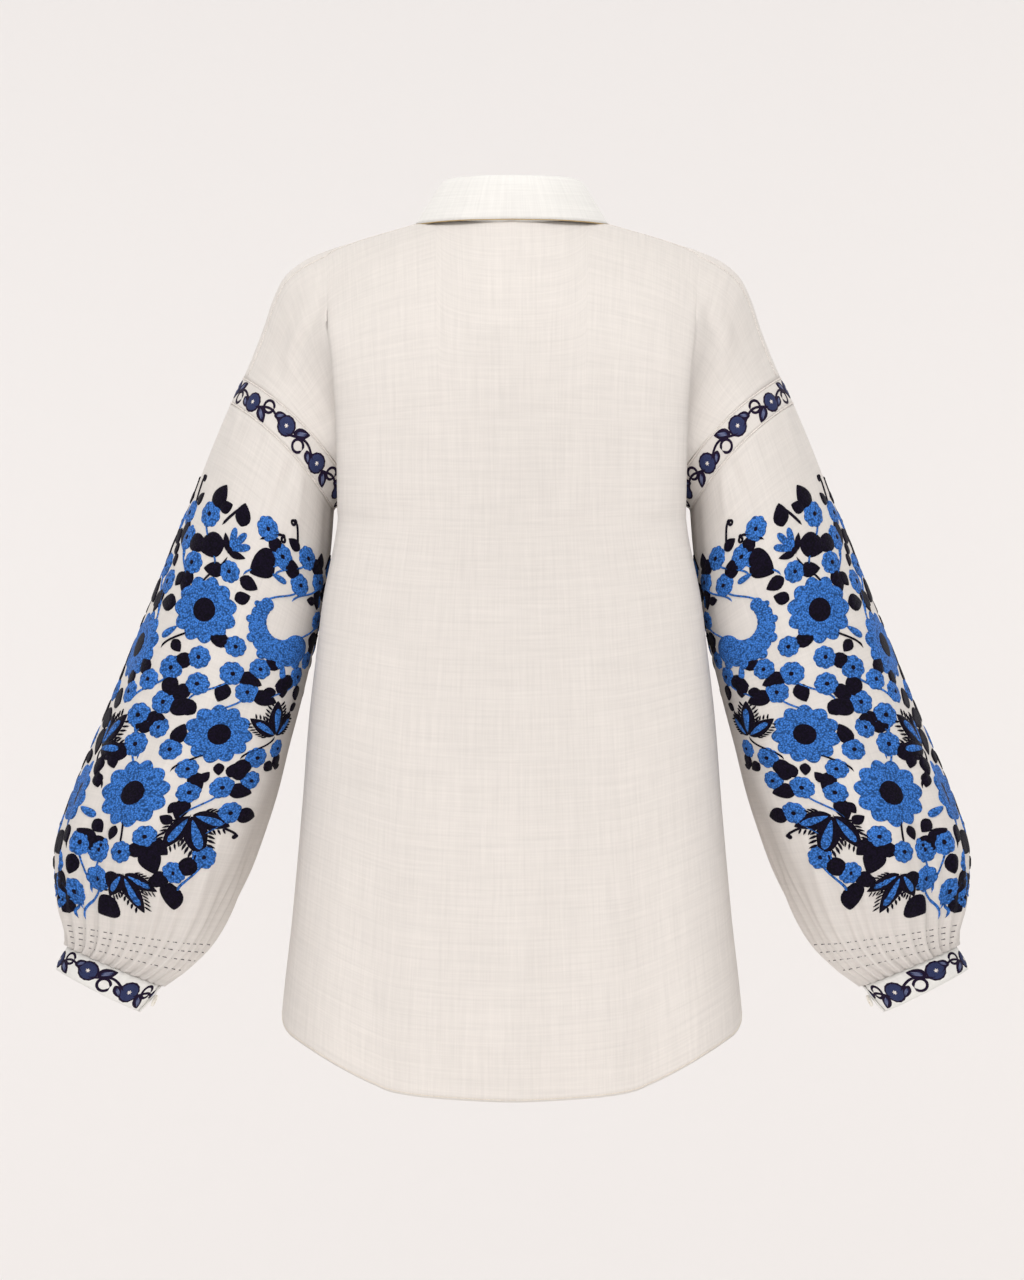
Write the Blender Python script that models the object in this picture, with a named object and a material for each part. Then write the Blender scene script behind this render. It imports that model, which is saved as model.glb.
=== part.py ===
"""A loose linen blouse with dropped shoulders, full gathered sleeves, a shirt collar and a curved hem.

It stands as it does on a figure, hollow and open at the neck, hem and cuffs. +Z is up, the front faces -Y, and
the wearer's left is +X. The origin is in the middle of the neck, level with the side neck points.
Tables give sizes in millimetres, and the meshes are in metres.
"""

import math

import bmesh
import bpy
import numpy as np
from mathutils import Matrix, Vector
from mathutils.bvhtree import BVHTree

MM = 0.001

# Cloth
WALL = 1.6              # wall of the plain panels
GATHER_WALL = 2.0       # wall of the sleeves, measured towards the arm
SEAM_GAP = 0.4          # gap between two pieces that are sewn together
LAYER_GAP = 0.5         # gap between two layers that lie on each other

# Neck and shoulder
NECK_HALF_WIDTH = 66.0
NECK_SIDE_Y = -4.0
NAPE_Y = 56.0
PIT_OF_NECK_Y = -80.0
SHOULDER_X_AT_CREST = 160.0   # where the shoulder line stands over the fold behind the arm
SEAM_TURN = 18.0              # degrees that the shoulder seam lies behind the top of the arm

# Shoulder line seen from behind: outwards from the neck to the top of the armhole
# (its first part runs on over the neck opening, where the neckline is cut out of the surface)
SHOULDER_COLUMNS = ("x", "z")
SHOULDER_LINE = (
    (0, 22), (22, 18), (44, 11), (66, 3), (88, -4), (112, -11), (138, -18.5), (160, -25.5), (179, -34),
    (195, -47), (205, -66), (213, -90), (222, -114), (231, -135),
)

# Armhole: a tilted ring, from its top on the arm to the underarm point
ARMHOLE_TOP = (231.0, -135.0)
UNDERARM = (137.0, -232.0)
ARMHOLE_HALF_DEPTH = 62.0
ARMHOLE_BOW = 9.0             # how far the seam curves up behind and in front of the arm

# Body rows that are lofted: the row through the shoulder blades or the chest, and the row to the underarm point
ROW_COLUMNS = ("centre_y", "centre_z", "crest_x", "crest_y", "crest_z", "hollow_x", "hollow_y")
BLADE_ROW = (112, -150, 150, 82, -160, 145, 48)
CHEST_ROW = (-124, -160, 154, -78, -165, 147, -48)
FRONT_ROUNDING = 45.0          # degrees of turn from the chest up to the shoulder at the front's centre
UNDERARM_ROW_Z = (-262, -256)  # at the centre and at the crest

# Body sections below the underarm
SECTION_COLUMNS = (
    "z", "crest_x", "seam_x", "back_y", "back_crest_y", "front_y", "front_crest_y",
)
SECTIONS = (
    (-225, 145.5, 135.0, 110, 76, -128, -74),
    (-262, 148.5, 134.0, 107, 72, -129, -72),
    (-326, 161.0, 142.0, 103, 62, -130, -64),
    (-370, 166.5, 152.0, 102, 54, -129, -56),
    (-420, 172.5, 168.0, 102, 46, -128, -48),
    (-500, 179.0, 179.0, 104, 40, -129, -42),
    (-600, 188.0, 189.0, 109, 38, -131, -40),
    (-690, 197.0, 198.5, 114, 38, -134, -40),
    (-765, 199.0, 201.0, 116, 38, -136, -40),
)
FOLD_END = 1.15               # turn, as an angle, by which the fold beside the arm has opened out
ROUNDNESS = 2.6               # exponent of the back's and the front's round corners
HEM_SIDE_Z = -691.0
HEM_CENTRE_Z = -750.0
HEM_TAIL_RISE = 9.5            # from the centre to the ends of the tail
HEM_TAIL_HALF_WIDTH = 0.58    # share of the half width over which the tail is nearly level
FLUTE_DEPTH = 2.5             # soft flutes at the hem
FLUTES = 5                    # in half of the back or front

# Front closing: the right front lies on the left one
OVERLAP_FADE = 55.0           # distance from the centre where the fronts have stopped parting
BUTTONS = 7
BUTTON_RADIUS = 5.5
BUTTON_THICKNESS = 2.4
BUTTON_SIDES = 16
BUTTON_GAP = 0.4              # between the cloth and the button's back
FIRST_BUTTON_Z = -105.0
LAST_BUTTON_Z = -640.0

# Armhole strip and sleeve
STRIP_WIDTH = 24.0
SLEEVE_COLUMNS = ("outer_x", "outer_z", "inner_x", "inner_z", "half_depth", "centre_y", "bow")
SLEEVE_SECTIONS = (
    (241.5, -156, 153, -248, 64, 0, 8),
    (257, -193, 156, -286, 69, -1, 6),
    (277, -245, 162, -330, 74, -3, 4),
    (302, -307, 172, -376, 78, -5, 2),
    (329, -374, 185, -427, 82, -8, 0),
    (355, -440, 199, -478, 86, -11, 0),
    (379, -497, 215, -525, 88, -14, 0),
    (393, -543, 230, -563, 85, -17, 0),
    (392, -582, 246, -596, 72, -20, 0),
    (387, -606, 264, -625, 54, -22, 0),
    (384.5, -619, 284, -645, 38, -23, 0),
    (384, -624, 303, -658, 29, -24, 0),
)
GATHERS = 28                  # round the wrist
POINTS_A_GATHER = 4
GATHER_HEIGHT = 1.5
GATHER_START = 5              # the section where the gathers begin to show
BILLOWS = 7                   # broad folds round the full part of the sleeve
BILLOW_HEIGHT = 3.0

# Cuff
CUFF_TOP = (384.0, -624.5, 303.0, -658.5, 29.0, -24.0)
CUFF_BOTTOM = (394.0, -644.0, 321.5, -681.0, 27.0, -26.0)
CUFF_OVERLAP = 20.0           # degrees
CUFF_END = 168.0              # degrees from the outer side, round the back, where the upper end lies
CUFF_BUTTON_ANGLE = 176.0

# Collar
STAND_TOP_HALF_WIDTH = 54.0
STAND_TOP_BACK = (49.0, 33.5)     # y and z at the back
STAND_TOP_SIDE = (-4.0, 33.0)     # y and z at the side
STAND_TOP_FRONT = (-75.0, -15.0)  # y and z at the front
COLLAR_ROLL = 2.6                 # how far the collar stands above the stand's edge
COLLAR_COLUMNS = ("angle", "edge_x", "edge_y", "edge_z")
COLLAR_EDGE = (
    (0, 0, 61, 1.4), (30, 41, 53, 1.0), (60, 71, 28, 0.2), (85, 82, -4, -0.6), (110, 80, -38, -10),
    (135, 69, -62, -33), (155, 55, -90, -62), (168, 45, -101, -83),
)
COLLAR_END = 168.0
COLLAR_CLEARANCE = 1.6            # between the collar and the cloth below it
STAND_RISE = 0.8                  # gap in height between the neckline and the stand
COLLAR_STEPS = 28

# How finely the cloth is divided
NECK_STEPS = 7          # a quarter of the neck
BACK_STEPS = 7
SIDE_STEPS = 5
HEM_ROWS = 5
UNDERARM_ROWS = 5
SHOULDER_ROWS = 6
STRIP_STEPS = 56

LINEN = (0.86, 0.82, 0.74)
SHELL_BUTTON = (0.83, 0.80, 0.74)


def clear_scene():
    for obj in list(bpy.data.objects):
        bpy.data.objects.remove(obj, do_unlink=True)


def material(name, colour, roughness):
    made = bpy.data.materials.new(name)
    made.use_nodes = True
    shader = made.node_tree.nodes["Principled BSDF"]
    shader.inputs["Base Color"].default_value = (*colour, 1)
    shader.inputs["Roughness"].default_value = roughness
    return made


def spline(x, knots, values):
    """A smooth curve through the values at the knots: cubic pieces that share their slopes."""
    knots = np.asarray(knots, float)
    values = np.asarray(values, float)
    if knots[0] > knots[-1]:
        knots, values = knots[::-1], values[::-1]
    slopes = np.gradient(values, knots)
    x = np.clip(x, knots[0], knots[-1])
    i = np.clip(np.searchsorted(knots, x, side="right") - 1, 0, len(knots) - 2)
    width = knots[i + 1] - knots[i]
    t = (x - knots[i]) / width
    start = (1 + 2 * t) * (1 - t) ** 2 * values[i] + t * (1 - t) ** 2 * width * slopes[i]
    end = t * t * (3 - 2 * t) * values[i + 1] - t * t * (1 - t) * width * slopes[i + 1]
    return start + end


def column(table, names, name):
    return [row[names.index(name)] for row in table]


def ease(t):
    t = np.clip(t, 0, 1)
    return t * t * (3 - 2 * t)


def bezier(t, a, b, c, d):
    return (1 - t) ** 3 * a + 3 * (1 - t) ** 2 * t * b + 3 * (1 - t) * t * t * c + t**3 * d


def unit(vectors):
    return vectors / np.maximum(np.linalg.norm(vectors, axis=-1, keepdims=True), 1e-9)


# The ring of the armhole

ARMHOLE_CENTRE = (np.array(ARMHOLE_TOP) + np.array(UNDERARM)) / 2
ARMHOLE_REACH = (np.array(ARMHOLE_TOP) - np.array(UNDERARM)) / 2
# Along the ring's axis, down and out towards the sleeve, as x and z
ARMHOLE_OUTWARD = np.array((ARMHOLE_REACH[1], -ARMHOLE_REACH[0])) / np.linalg.norm(ARMHOLE_REACH)


def kept_behind_ring(inward):
    """Directions turned so that a wall doesn't reach past the armhole's ring, and as thick as before."""
    axis = np.array((ARMHOLE_OUTWARD[0], 0, ARMHOLE_OUTWARD[1]))
    past = np.maximum(inward @ axis, 0)[..., None]
    turned = inward - past * axis
    return turned / np.maximum((turned**2).sum(-1, keepdims=True), 0.4)


# The body's surface
# u runs from the centre (0) to the fold's crest beside the arm (1) and on to the side seam or the armhole (2)

def corner_share(u):
    """The share of the crest's x at u, with the points crowded towards the round corner."""
    return np.sin(np.clip(u, 0, 1) * math.pi / 2) ** (2 / ROUNDNESS)


def neck_column():
    """The u where the shoulder line meets the neck."""
    share = NECK_HALF_WIDTH / SHOULDER_X_AT_CREST
    return math.asin(share ** (ROUNDNESS / 2)) * 2 / math.pi


def row_points(u, centre, crest, hollow, end, end_pull):
    """One row: a round corner from the centre to the crest, then a curve through the hollow to its end."""
    share = corner_share(u)
    depth = np.cos(np.clip(u, 0, 1) * math.pi / 2) ** (2 / ROUNDNESS)
    x = crest[0] * share
    y = crest[1] + (centre[1] - crest[1]) * depth
    z = centre[2] + (crest[2] - centre[2]) * share**2
    r = np.clip(u - 1, 0, 1)
    past = np.stack([bezier(r, crest[k], hollow[k], end_pull[k], end[k]) for k in range(3)], -1)
    return np.where((u > 1)[..., None], past, np.stack([x, y, z], -1))


def section(u, z, side):
    """The outline at height z, below the underarm. side is 1 at the back and -1 at the front."""
    face = "back" if side > 0 else "front"
    heights = column(SECTIONS, SECTION_COLUMNS, "z")
    get = lambda name: spline(z, heights, column(SECTIONS, SECTION_COLUMNS, name))
    crest_x, seam_x = get("crest_x"), get("seam_x")
    centre_y, crest_y = get(face + "_y"), get(face + "_crest_y")
    share = corner_share(u)
    depth = np.cos(np.clip(u, 0, 1) * math.pi / 2) ** (2 / ROUNDNESS)
    r = np.clip(u - 1, 0, 1)
    x = np.where(u > 1, bezier(r, crest_x, crest_x, seam_x, seam_x), crest_x * share)
    side_y = bezier(r, crest_y, crest_y * 0.62, crest_y * 0.3, 0)
    y = np.where(u > 1, side_y, crest_y + (centre_y - crest_y) * depth)
    flute = FLUTE_DEPTH * ease((-z - 420) / 280) * np.cos(share * FLUTES * math.pi) * (1 - r) ** 2
    return np.stack([x, y + side * flute, z + 0 * x], -1)


def hem_z(u):
    """The hem's height: nearly level across the tail, then a slant up to the side seam."""
    share = np.where(u > 1, 1 + 0.12 * (u - 1), corner_share(u))
    tail = HEM_TAIL_RISE * np.clip(share / HEM_TAIL_HALF_WIDTH, 0, 1) ** 2
    slant = np.clip((share - HEM_TAIL_HALF_WIDTH + 0.04) / (1.04 - HEM_TAIL_HALF_WIDTH), 0, 1)
    rise = (HEM_SIDE_Z - HEM_CENTRE_Z - HEM_TAIL_RISE) * (slant**1.15)
    return HEM_CENTRE_Z + tail + np.minimum(rise, HEM_SIDE_Z - HEM_CENTRE_Z - HEM_TAIL_RISE)


def underarm_row_z(u):
    centre, crest = UNDERARM_ROW_Z
    side_z = crest + (UNDERARM[1] - crest) * ease(u - 1)
    return np.where(u > 1, side_z, centre + (crest - centre) * corner_share(u) ** 2)


def armhole_back_point(side):
    """The ring's hindmost or foremost point."""
    bow = -ARMHOLE_BOW * ARMHOLE_OUTWARD
    return (ARMHOLE_CENTRE[0] + bow[0], side * ARMHOLE_HALF_DEPTH, ARMHOLE_CENTRE[1] + bow[1])


def blade_row(u, side, flattened=0.0, opened=0.0):
    """The row through the shoulder blades or the chest, with the deep fold beside the arm.

    Towards the underarm the fold is flattened, so that the cloth runs straight into the seam, and towards the
    shoulder it opens out.
    """
    row = dict(zip(ROW_COLUMNS, BLADE_ROW if side > 0 else CHEST_ROW))
    end = armhole_back_point(side)
    centre = (0, row["centre_y"], row["centre_z"])
    crest = (row["crest_x"], row["crest_y"], row["crest_z"])
    hollow_y = row["hollow_y"] + side * (17 * flattened + 26 * opened)
    hollow = (row["hollow_x"] + 15 * opened, hollow_y, row["crest_z"] - 4)
    pull = (end[0] - 16, end[1] - side * (5 - 9 * flattened), end[2] + 6)
    return row_points(u, centre, crest, hollow, end, pull)


def ridge_row(u):
    """The shoulder line, out to the armhole. Inside the neck it runs on over the opening."""
    points = np.array(SHOULDER_LINE, float)
    x = SHOULDER_X_AT_CREST * corner_share(u)
    z = spline(x, points[:, 0], points[:, 1])
    # Past the crest the row follows the shoulder line by its length
    run = np.concatenate([[0], np.cumsum(np.hypot(*np.diff(points, axis=0).T))])
    start = np.interp(SHOULDER_X_AT_CREST, points[:, 0], run)
    along = start + (run[-1] - start) * np.clip(u - 1, 0, 1)
    x = np.where(u > 1, spline(along, run, points[:, 0]), x)
    z = np.where(u > 1, spline(along, run, points[:, 1]), z)
    return np.stack([x, NECK_SIDE_Y * (1 - ease(u - 1)), z], -1)


def loft(u, low, high, turn, limit):
    """Between two rows: height and width follow the sine of the turn, depth its cosine."""
    up = np.sin(turn) / np.sin(limit)
    over = (1 - np.cos(turn)) / (1 - np.cos(limit))
    return low + (high - low) * np.stack([up, over, up], -1), up


def bow_offset(u, share):
    """What the armhole's bow adds between the middle and the ends of its seam."""
    amount = -ARMHOLE_BOW * share * (1 - share) * ease(u - 1)
    return np.stack([amount * ARMHOLE_OUTWARD[0], 0 * amount, amount * ARMHOLE_OUTWARD[1]], -1)


def shoulder_surface(u, turn, side):
    """From the blade or chest row (turn 0) up to the neckline and the shoulder line (a quarter turn)."""
    low, high = blade_row(u, side, opened=ease(turn / FOLD_END)), ridge_row(u)
    centre_limit = math.pi / 2 if side > 0 else math.radians(FRONT_ROUNDING)
    limit = centre_limit + (math.pi / 2 - centre_limit) * ease(u / 0.9)
    # Within the neck the rows end at the neckline
    across = np.clip(high[..., 0] / NECK_HALF_WIDTH, 0, 1)
    neck_y = NECK_SIDE_Y + ((NAPE_Y if side > 0 else PIT_OF_NECK_Y) - NECK_SIDE_Y) * np.sqrt(1 - across**2)
    over_end = (low[..., 1] - neck_y) / (low[..., 1] - high[..., 1])
    end = np.arccos(1 - over_end * (1 - np.cos(limit)))
    end = np.where(across < 1, end, limit)
    surface, share = loft(u, low, high, turn * end / (math.pi / 2), limit)
    return surface + bow_offset(u, share)


def underarm_surface(u, turn, side):
    """From the blade or chest row (turn 0) down to the underarm row."""
    limit = math.radians(8) + math.radians(82) * ease(u - 1)
    low = section(u, underarm_row_z(u), side)
    high = blade_row(u, side, ease(turn / (math.pi / 2) / 0.35))
    surface, share = loft(u, high, low, turn * limit / (math.pi / 2), limit)
    return surface + bow_offset(u, share)


def body_surface(u, v, side):
    """v is -2 at the hem, -1 at the underarm row, 0 at the blade or chest row and 1 at the shoulder line.

    Past 1 the surface goes on over the shoulder to the other side.
    """
    u, v = np.broadcast_arrays(np.asarray(u, float), np.asarray(v, float))
    quarter = math.pi / 2
    row_z = underarm_row_z(u)
    z = row_z + (hem_z(u) - row_z) * np.clip(-1 - v, 0, 1)
    lower = section(u, z, side)
    under = underarm_surface(u, np.clip(-v, 0, 1) * quarter, side)
    upper = shoulder_surface(u, np.clip(v, 0, 1) * quarter, side)
    beyond = shoulder_surface(u, np.clip(2 - v, 0, 1) * quarter, -side)
    made = np.where((v < -1)[..., None], lower, under)
    made = np.where((v > 0)[..., None], upper, made)
    return np.where((v > 1)[..., None], beyond, made)


def body_normal(u, v, side):
    """The direction out of the cloth, from small steps along u and v."""
    step = 0.004
    u, v = np.broadcast_arrays(np.asarray(u, float), np.asarray(v, float))
    low_v = np.where((v > -1) & (v < -1 + step), -1, v - step)
    high_v = np.where((v <= -1) & (v > -1 - step), -1, v + step)
    right = body_surface(np.minimum(u + step, 2), v, side)
    left = body_surface(np.maximum(u - step, 0), v, side)
    above = body_surface(u, np.maximum(high_v, -2 + step), side)
    below = body_surface(u, np.maximum(low_v, -2), side)
    return unit(np.cross(above - below, right - left)) * side


def seam_turn(u):
    """How far past the top of the shoulder the front reaches, in v."""
    past_neck = ease((u - neck_column()) / (1.2 - neck_column()))
    return SEAM_TURN / 90 * past_neck


def column_values():
    """The u of each column of points: even steps round the neck, then to the crest and to the seam."""
    round_neck = np.sin(np.linspace(0, math.pi / 2, NECK_STEPS + 1))
    share = round_neck * NECK_HALF_WIDTH / SHOULDER_X_AT_CREST
    return np.concatenate([
        np.arcsin(share ** (ROUNDNESS / 2))[:-1] * 2 / math.pi,
        np.linspace(neck_column(), 1, BACK_STEPS + 1)[:-1],
        np.linspace(1, 2, SIDE_STEPS + 1),
    ])


def row_values():
    """The v of each row, from the hem to the shoulder line."""
    return np.concatenate([
        np.linspace(-2, -1, HEM_ROWS + 1)[:-1],
        np.linspace(-1, 0, UNDERARM_ROWS + 1)[:-1],
        np.linspace(0, 1, SHOULDER_ROWS + 1),
    ])


def panel_grid(side):
    """(u, v) of a panel's points, rows first. The shoulder rows end at the shoulder seam."""
    u = column_values()[None, :]
    v = row_values()[:, None]
    reach = 1 - side * seam_turn(u)
    return np.broadcast_arrays(u, np.where(v > 0, v * reach, v))


def neck_mitre(points):
    """The direction that the neckline's wall and the stand's wall share at the seam between them."""
    outward = unit(points * (1, 1, 0))
    return unit(outward + (0, 0, 0.9))


def panel_walls(side):
    """A half panel's outer and inner points. Edges that are sewn share the direction of their wall."""
    u, v = panel_grid(side)
    outer = body_surface(u, v, side)
    inward = -body_normal(u, v, side)
    side_seam = v[:, -1] < -1 + 1e-6
    inward[side_seam, -1] = (-1, 0, 0)
    inward[~side_seam, -1] = kept_behind_ring(inward[~side_seam, -1])
    neck = u[0] <= neck_column() + 1e-6
    inward[-1, neck] = -neck_mitre(outer[-1, neck])
    inner = outer + inward * WALL
    # The sewn edges stop short of each other
    for grid in (outer, inner):
        grid[side_seam, -1, 1] += side * SEAM_GAP / 2
        last = unit(grid[-1] - grid[-2])
        grid[-1] -= last * SEAM_GAP / 2
    return outer, inner


def overlap_lift(x, way):
    """The fronts part where they lie on each other: the right one out, the left one in."""
    overlap = NECK_HALF_WIDTH * math.sin(math.pi / 2 / NECK_STEPS)
    near = 1 - ease((np.abs(x) - overlap * 1.3) / (OVERLAP_FADE - overlap))
    return way * near * (WALL + LAYER_GAP) / 2


def strip_faces(lower, upper, closed):
    """Triangles between two rings of point numbers, where the upper may have twice as many as the lower."""
    faces = []
    steps = len(lower) if closed else len(lower) - 1
    twice = len(upper) > len(lower)
    for i in range(steps):
        a, b = lower[i], lower[(i + 1) % len(lower)]
        if twice:
            c, d, e = (upper[(2 * i + k) % len(upper)] for k in range(3))
            faces += [(a, d, c), (a, b, d), (b, e, d)]
        else:
            c, d = upper[i], upper[(i + 1) % len(upper)]
            faces += [(a, b, d), (a, d, c)]
    return faces


def cloth(name, outer, inner, closed, finish):
    """A closed wall from two stacks of rings of points, outer and inner, in millimetres."""
    points, outside, inside = [], [], []
    for rings, numbers in ((outer, outside), (inner, inside)):
        for ring in rings:
            numbers.append(list(range(len(points), len(points) + len(ring))))
            points.extend(ring)
    faces = []
    for low, high, low_in, high_in in zip(outside, outside[1:], inside, inside[1:]):
        faces += strip_faces(low, high, closed)
        faces += [face[::-1] for face in strip_faces(low_in, high_in, closed)]
    for edge_out, edge_in, turned in ((outside[0], inside[0], True), (outside[-1], inside[-1], False)):
        rim = strip_faces(edge_out, edge_in, closed)
        faces += [face[::-1] for face in rim] if turned else rim
    if not closed:
        for end, turned in ((0, False), (-1, True)):
            out_end = [ring[end] for ring in outside]
            in_end = [ring[end] for ring in inside]
            rim = strip_faces(out_end, in_end, False)
            faces += [face[::-1] for face in rim] if turned else rim
    return mesh_object(name, np.array(points) * MM, faces, finish)


def mesh_object(name, points, faces, finish):
    mesh = bpy.data.meshes.new(name)
    mesh.from_pydata([tuple(p) for p in points], [], faces)
    mesh.update()
    mesh.shade_smooth()
    mesh.set_sharp_from_angle(angle=math.radians(50))
    mesh.materials.append(finish)
    obj = bpy.data.objects.new(name, mesh)
    bpy.context.scene.collection.objects.link(obj)
    return obj


def mirrored(points):
    return points * (-1, 1, 1)


def build_back(finish):
    """The back, cut in one piece from side seam to side seam."""
    outer, inner = panel_walls(1)
    whole = [np.concatenate([half[:, :0:-1], mirrored(half)], axis=1) for half in (outer, inner)]
    cloth("back", whole[0], whole[1], False, finish)
    return surface_tree(whole[0])


def build_front(name, way, finish):
    """One front. way is 1 for the wearer's left and -1 for the right, which lies on top."""
    outer, inner = panel_walls(-1)
    outer = np.concatenate([mirrored(outer[:, 1:2]), outer], axis=1)
    inner = np.concatenate([mirrored(inner[:, 1:2]), inner], axis=1)
    outward = unit(outer - inner)
    shift = overlap_lift(outer[..., 0], -way)[..., None] * outward
    outer, inner = outer + shift, inner + shift
    if way < 0:
        outer, inner = mirrored(outer)[:, ::-1], mirrored(inner)[:, ::-1]
    cloth(name, outer, inner, False, finish)
    return surface_tree(outer)


def ring_points(angle, outer_x, outer_z, inner_x, inner_z, half_depth, centre_y, bow=0.0):
    """A sleeve section: an oval through its outer and inner points, bowed up behind and in front."""
    centre = np.array(((outer_x + inner_x) / 2, centre_y, (outer_z + inner_z) / 2))
    reach = np.array(((outer_x - inner_x) / 2, 0, (outer_z - inner_z) / 2))
    up = np.array((-reach[2], 0, reach[0])) / np.hypot(reach[0], reach[2])
    c, s = np.cos(angle)[..., None], np.sin(angle)[..., None]
    return centre + reach * c + np.array((0, half_depth, 0)) * s + up * bow * s**2


def ring_axes(section_row):
    outer_x, outer_z, inner_x, inner_z = section_row[:4]
    reach = np.array(((outer_x - inner_x) / 2, 0, (outer_z - inner_z) / 2))
    return reach, section_row[4]


def ring_inward(angle, section_row):
    reach, half_depth = ring_axes(section_row)
    size = np.linalg.norm(reach)
    c, s = np.cos(angle)[..., None], np.sin(angle)[..., None]
    return -unit(reach / size * c / size + np.array((0, 1 / half_depth, 0)) * s)


def turned_to_side(points, way):
    """Points of the left sleeve, mirrored for the right one with the order kept facing out."""
    return points if way > 0 else mirrored(points)[::-1]


def build_strip(name, way, finish):
    """The strip between body and sleeve, round the armhole."""
    angle = np.linspace(0, 2 * math.pi, STRIP_STEPS, endpoint=False)
    outward = np.array((ARMHOLE_OUTWARD[0], 0, ARMHOLE_OUTWARD[1]))
    top = (*ARMHOLE_TOP, *UNDERARM, ARMHOLE_HALF_DEPTH, 0.0, ARMHOLE_BOW)
    bottom = SLEEVE_SECTIONS[0]
    outer, inner = [], []
    for share in (0, 0.5, 1):
        row = [a + (b - a) * share for a, b in zip(top, bottom)]
        trim = outward * SEAM_GAP * (1 - 2 * share)
        ring = ring_points(angle, *row) + trim
        outer.append(turned_to_side(ring, way))
        inner.append(turned_to_side(ring + ring_inward(angle, row) * WALL, way))
    cloth(name, outer[::-1], inner[::-1], True, finish)


def sleeve_ring(angle, at):
    """The sleeve's outer points at a place along its table of sections, with its folds and gathers."""
    knots = np.arange(len(SLEEVE_SECTIONS))
    row = [float(spline(at, knots, [r[k] for r in SLEEVE_SECTIONS])) for k in range(len(SLEEVE_COLUMNS))]
    ring = ring_points(angle, *row)
    last = len(SLEEVE_SECTIONS) - 1
    gather = GATHER_HEIGHT * ease((at - GATHER_START) / (last - GATHER_START)) * np.cos(GATHERS * angle)
    full = ease(at / 7) * ease((last - at) / 3)
    billow = BILLOW_HEIGHT * full * np.cos(BILLOWS * angle + 0.9 * np.sin(angle) + 0.25 * at)
    return ring - ring_inward(angle, row) * (gather + billow)[..., None], row


def build_sleeve(name, way, finish):
    """A full sleeve, gathered into its cuff. The gathered part has twice as many points round it."""
    fine = GATHERS * POINTS_A_GATHER
    last = len(SLEEVE_SECTIONS) - 1
    places = [(at, fine // 2) for at in (0, 1.4, 2.8, 4.2, 5.4, 6.5)]
    places += [(at, fine) for at in (7.5, 8.5, 9.4, 10.2, last)]
    outer, inner = [], []
    for at, count in places:
        angle = np.linspace(0, 2 * math.pi, count, endpoint=False)
        if way < 0:
            angle = -angle
        ring, row = sleeve_ring(angle, at)
        wall = WALL + (GATHER_WALL - WALL) * min(at / 6, 1)
        inside = ring + ring_inward(angle, row) * wall
        outer.append(ring if way > 0 else mirrored(ring))
        inner.append(inside if way > 0 else mirrored(inside))
    cloth(name, [r[::-1] for r in outer], [r[::-1] for r in inner], True, finish)


def build_cuff(name, way, finish):
    """A cuff whose upper end lies on its lower end, at the inner side of the wrist."""
    start = math.radians(CUFF_END)
    overlap = math.radians(CUFF_OVERLAP)
    angle = np.linspace(start, start + 2 * math.pi + overlap, 46)
    run = (angle - start) / (2 * math.pi + overlap)
    lift = (WALL + LAYER_GAP) / 2 * (1 - 2 * run)
    outer, inner = [], []
    for row in (CUFF_TOP, CUFF_BOTTOM):
        ring = ring_points(angle, *row)
        inward = ring_inward(angle, row)
        ring = ring - inward * lift[:, None]
        outer.append(turned_to_side(ring, way))
        inner.append(turned_to_side(ring + inward * WALL, way))
    cloth(name, outer[::-1], inner[::-1], False, finish)
    return surface_tree(outer)


def neckline(angle):
    """The neckline at an angle: 0 at the nape, a quarter turn at the side, a half turn at the front."""
    share = np.abs(np.sin(angle)) * NECK_HALF_WIDTH / SHOULDER_X_AT_CREST
    u = np.arcsin(share ** (ROUNDNESS / 2)) * 2 / math.pi
    behind = body_surface(u, np.ones_like(u), 1)
    before = body_surface(u, np.ones_like(u), -1)
    line = np.where((np.cos(angle) > 0)[:, None], behind, before)
    return line * np.stack([np.sign(np.sin(angle)), 1 + 0 * angle, 1 + 0 * angle], -1)


def stand_edges(angle):
    """The stand's lower edge, which is the neckline, and its upper edge."""
    back = np.cos(angle) >= 0
    arch = np.abs(np.cos(angle))
    end_y = np.where(back, STAND_TOP_BACK[0], STAND_TOP_FRONT[0])
    end_z = np.where(back, STAND_TOP_BACK[1], STAND_TOP_FRONT[1])
    high_y = STAND_TOP_SIDE[0] + (end_y - STAND_TOP_SIDE[0]) * arch
    high_z = STAND_TOP_SIDE[1] + (end_z - STAND_TOP_SIDE[1]) * np.where(back, arch, arch**1.5)
    high_x = STAND_TOP_HALF_WIDTH * np.sin(angle)
    return neckline(angle), np.stack([high_x, high_y, high_z], -1)


def build_stand(finish):
    """The collar stand, a band round the neck whose right end lies on its left end."""
    step = math.pi / 2 / NECK_STEPS
    angle = np.arange(-2 * NECK_STEPS - 1, 2 * NECK_STEPS + 2) * step
    low, high = stand_edges(angle)
    outward = unit(low * (1, 1, 0))
    lift = overlap_lift(low[:, 0], 1) * np.sign(-angle) * (np.cos(angle) < 0)
    outer, inner = [], []
    for share in (0, 0.5, 1):
        direction = unit(neck_mitre(low) * (1 - share) + outward * share)
        ring = low + (high - low) * share + direction * lift[:, None]
        ring[:, 2] += (1 - share) * STAND_RISE
        outer.append(ring[::-1])
        inner.append((ring - direction * WALL)[::-1])
    cloth("collar_stand", outer, inner, False, finish)
    return surface_tree(outer)


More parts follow.
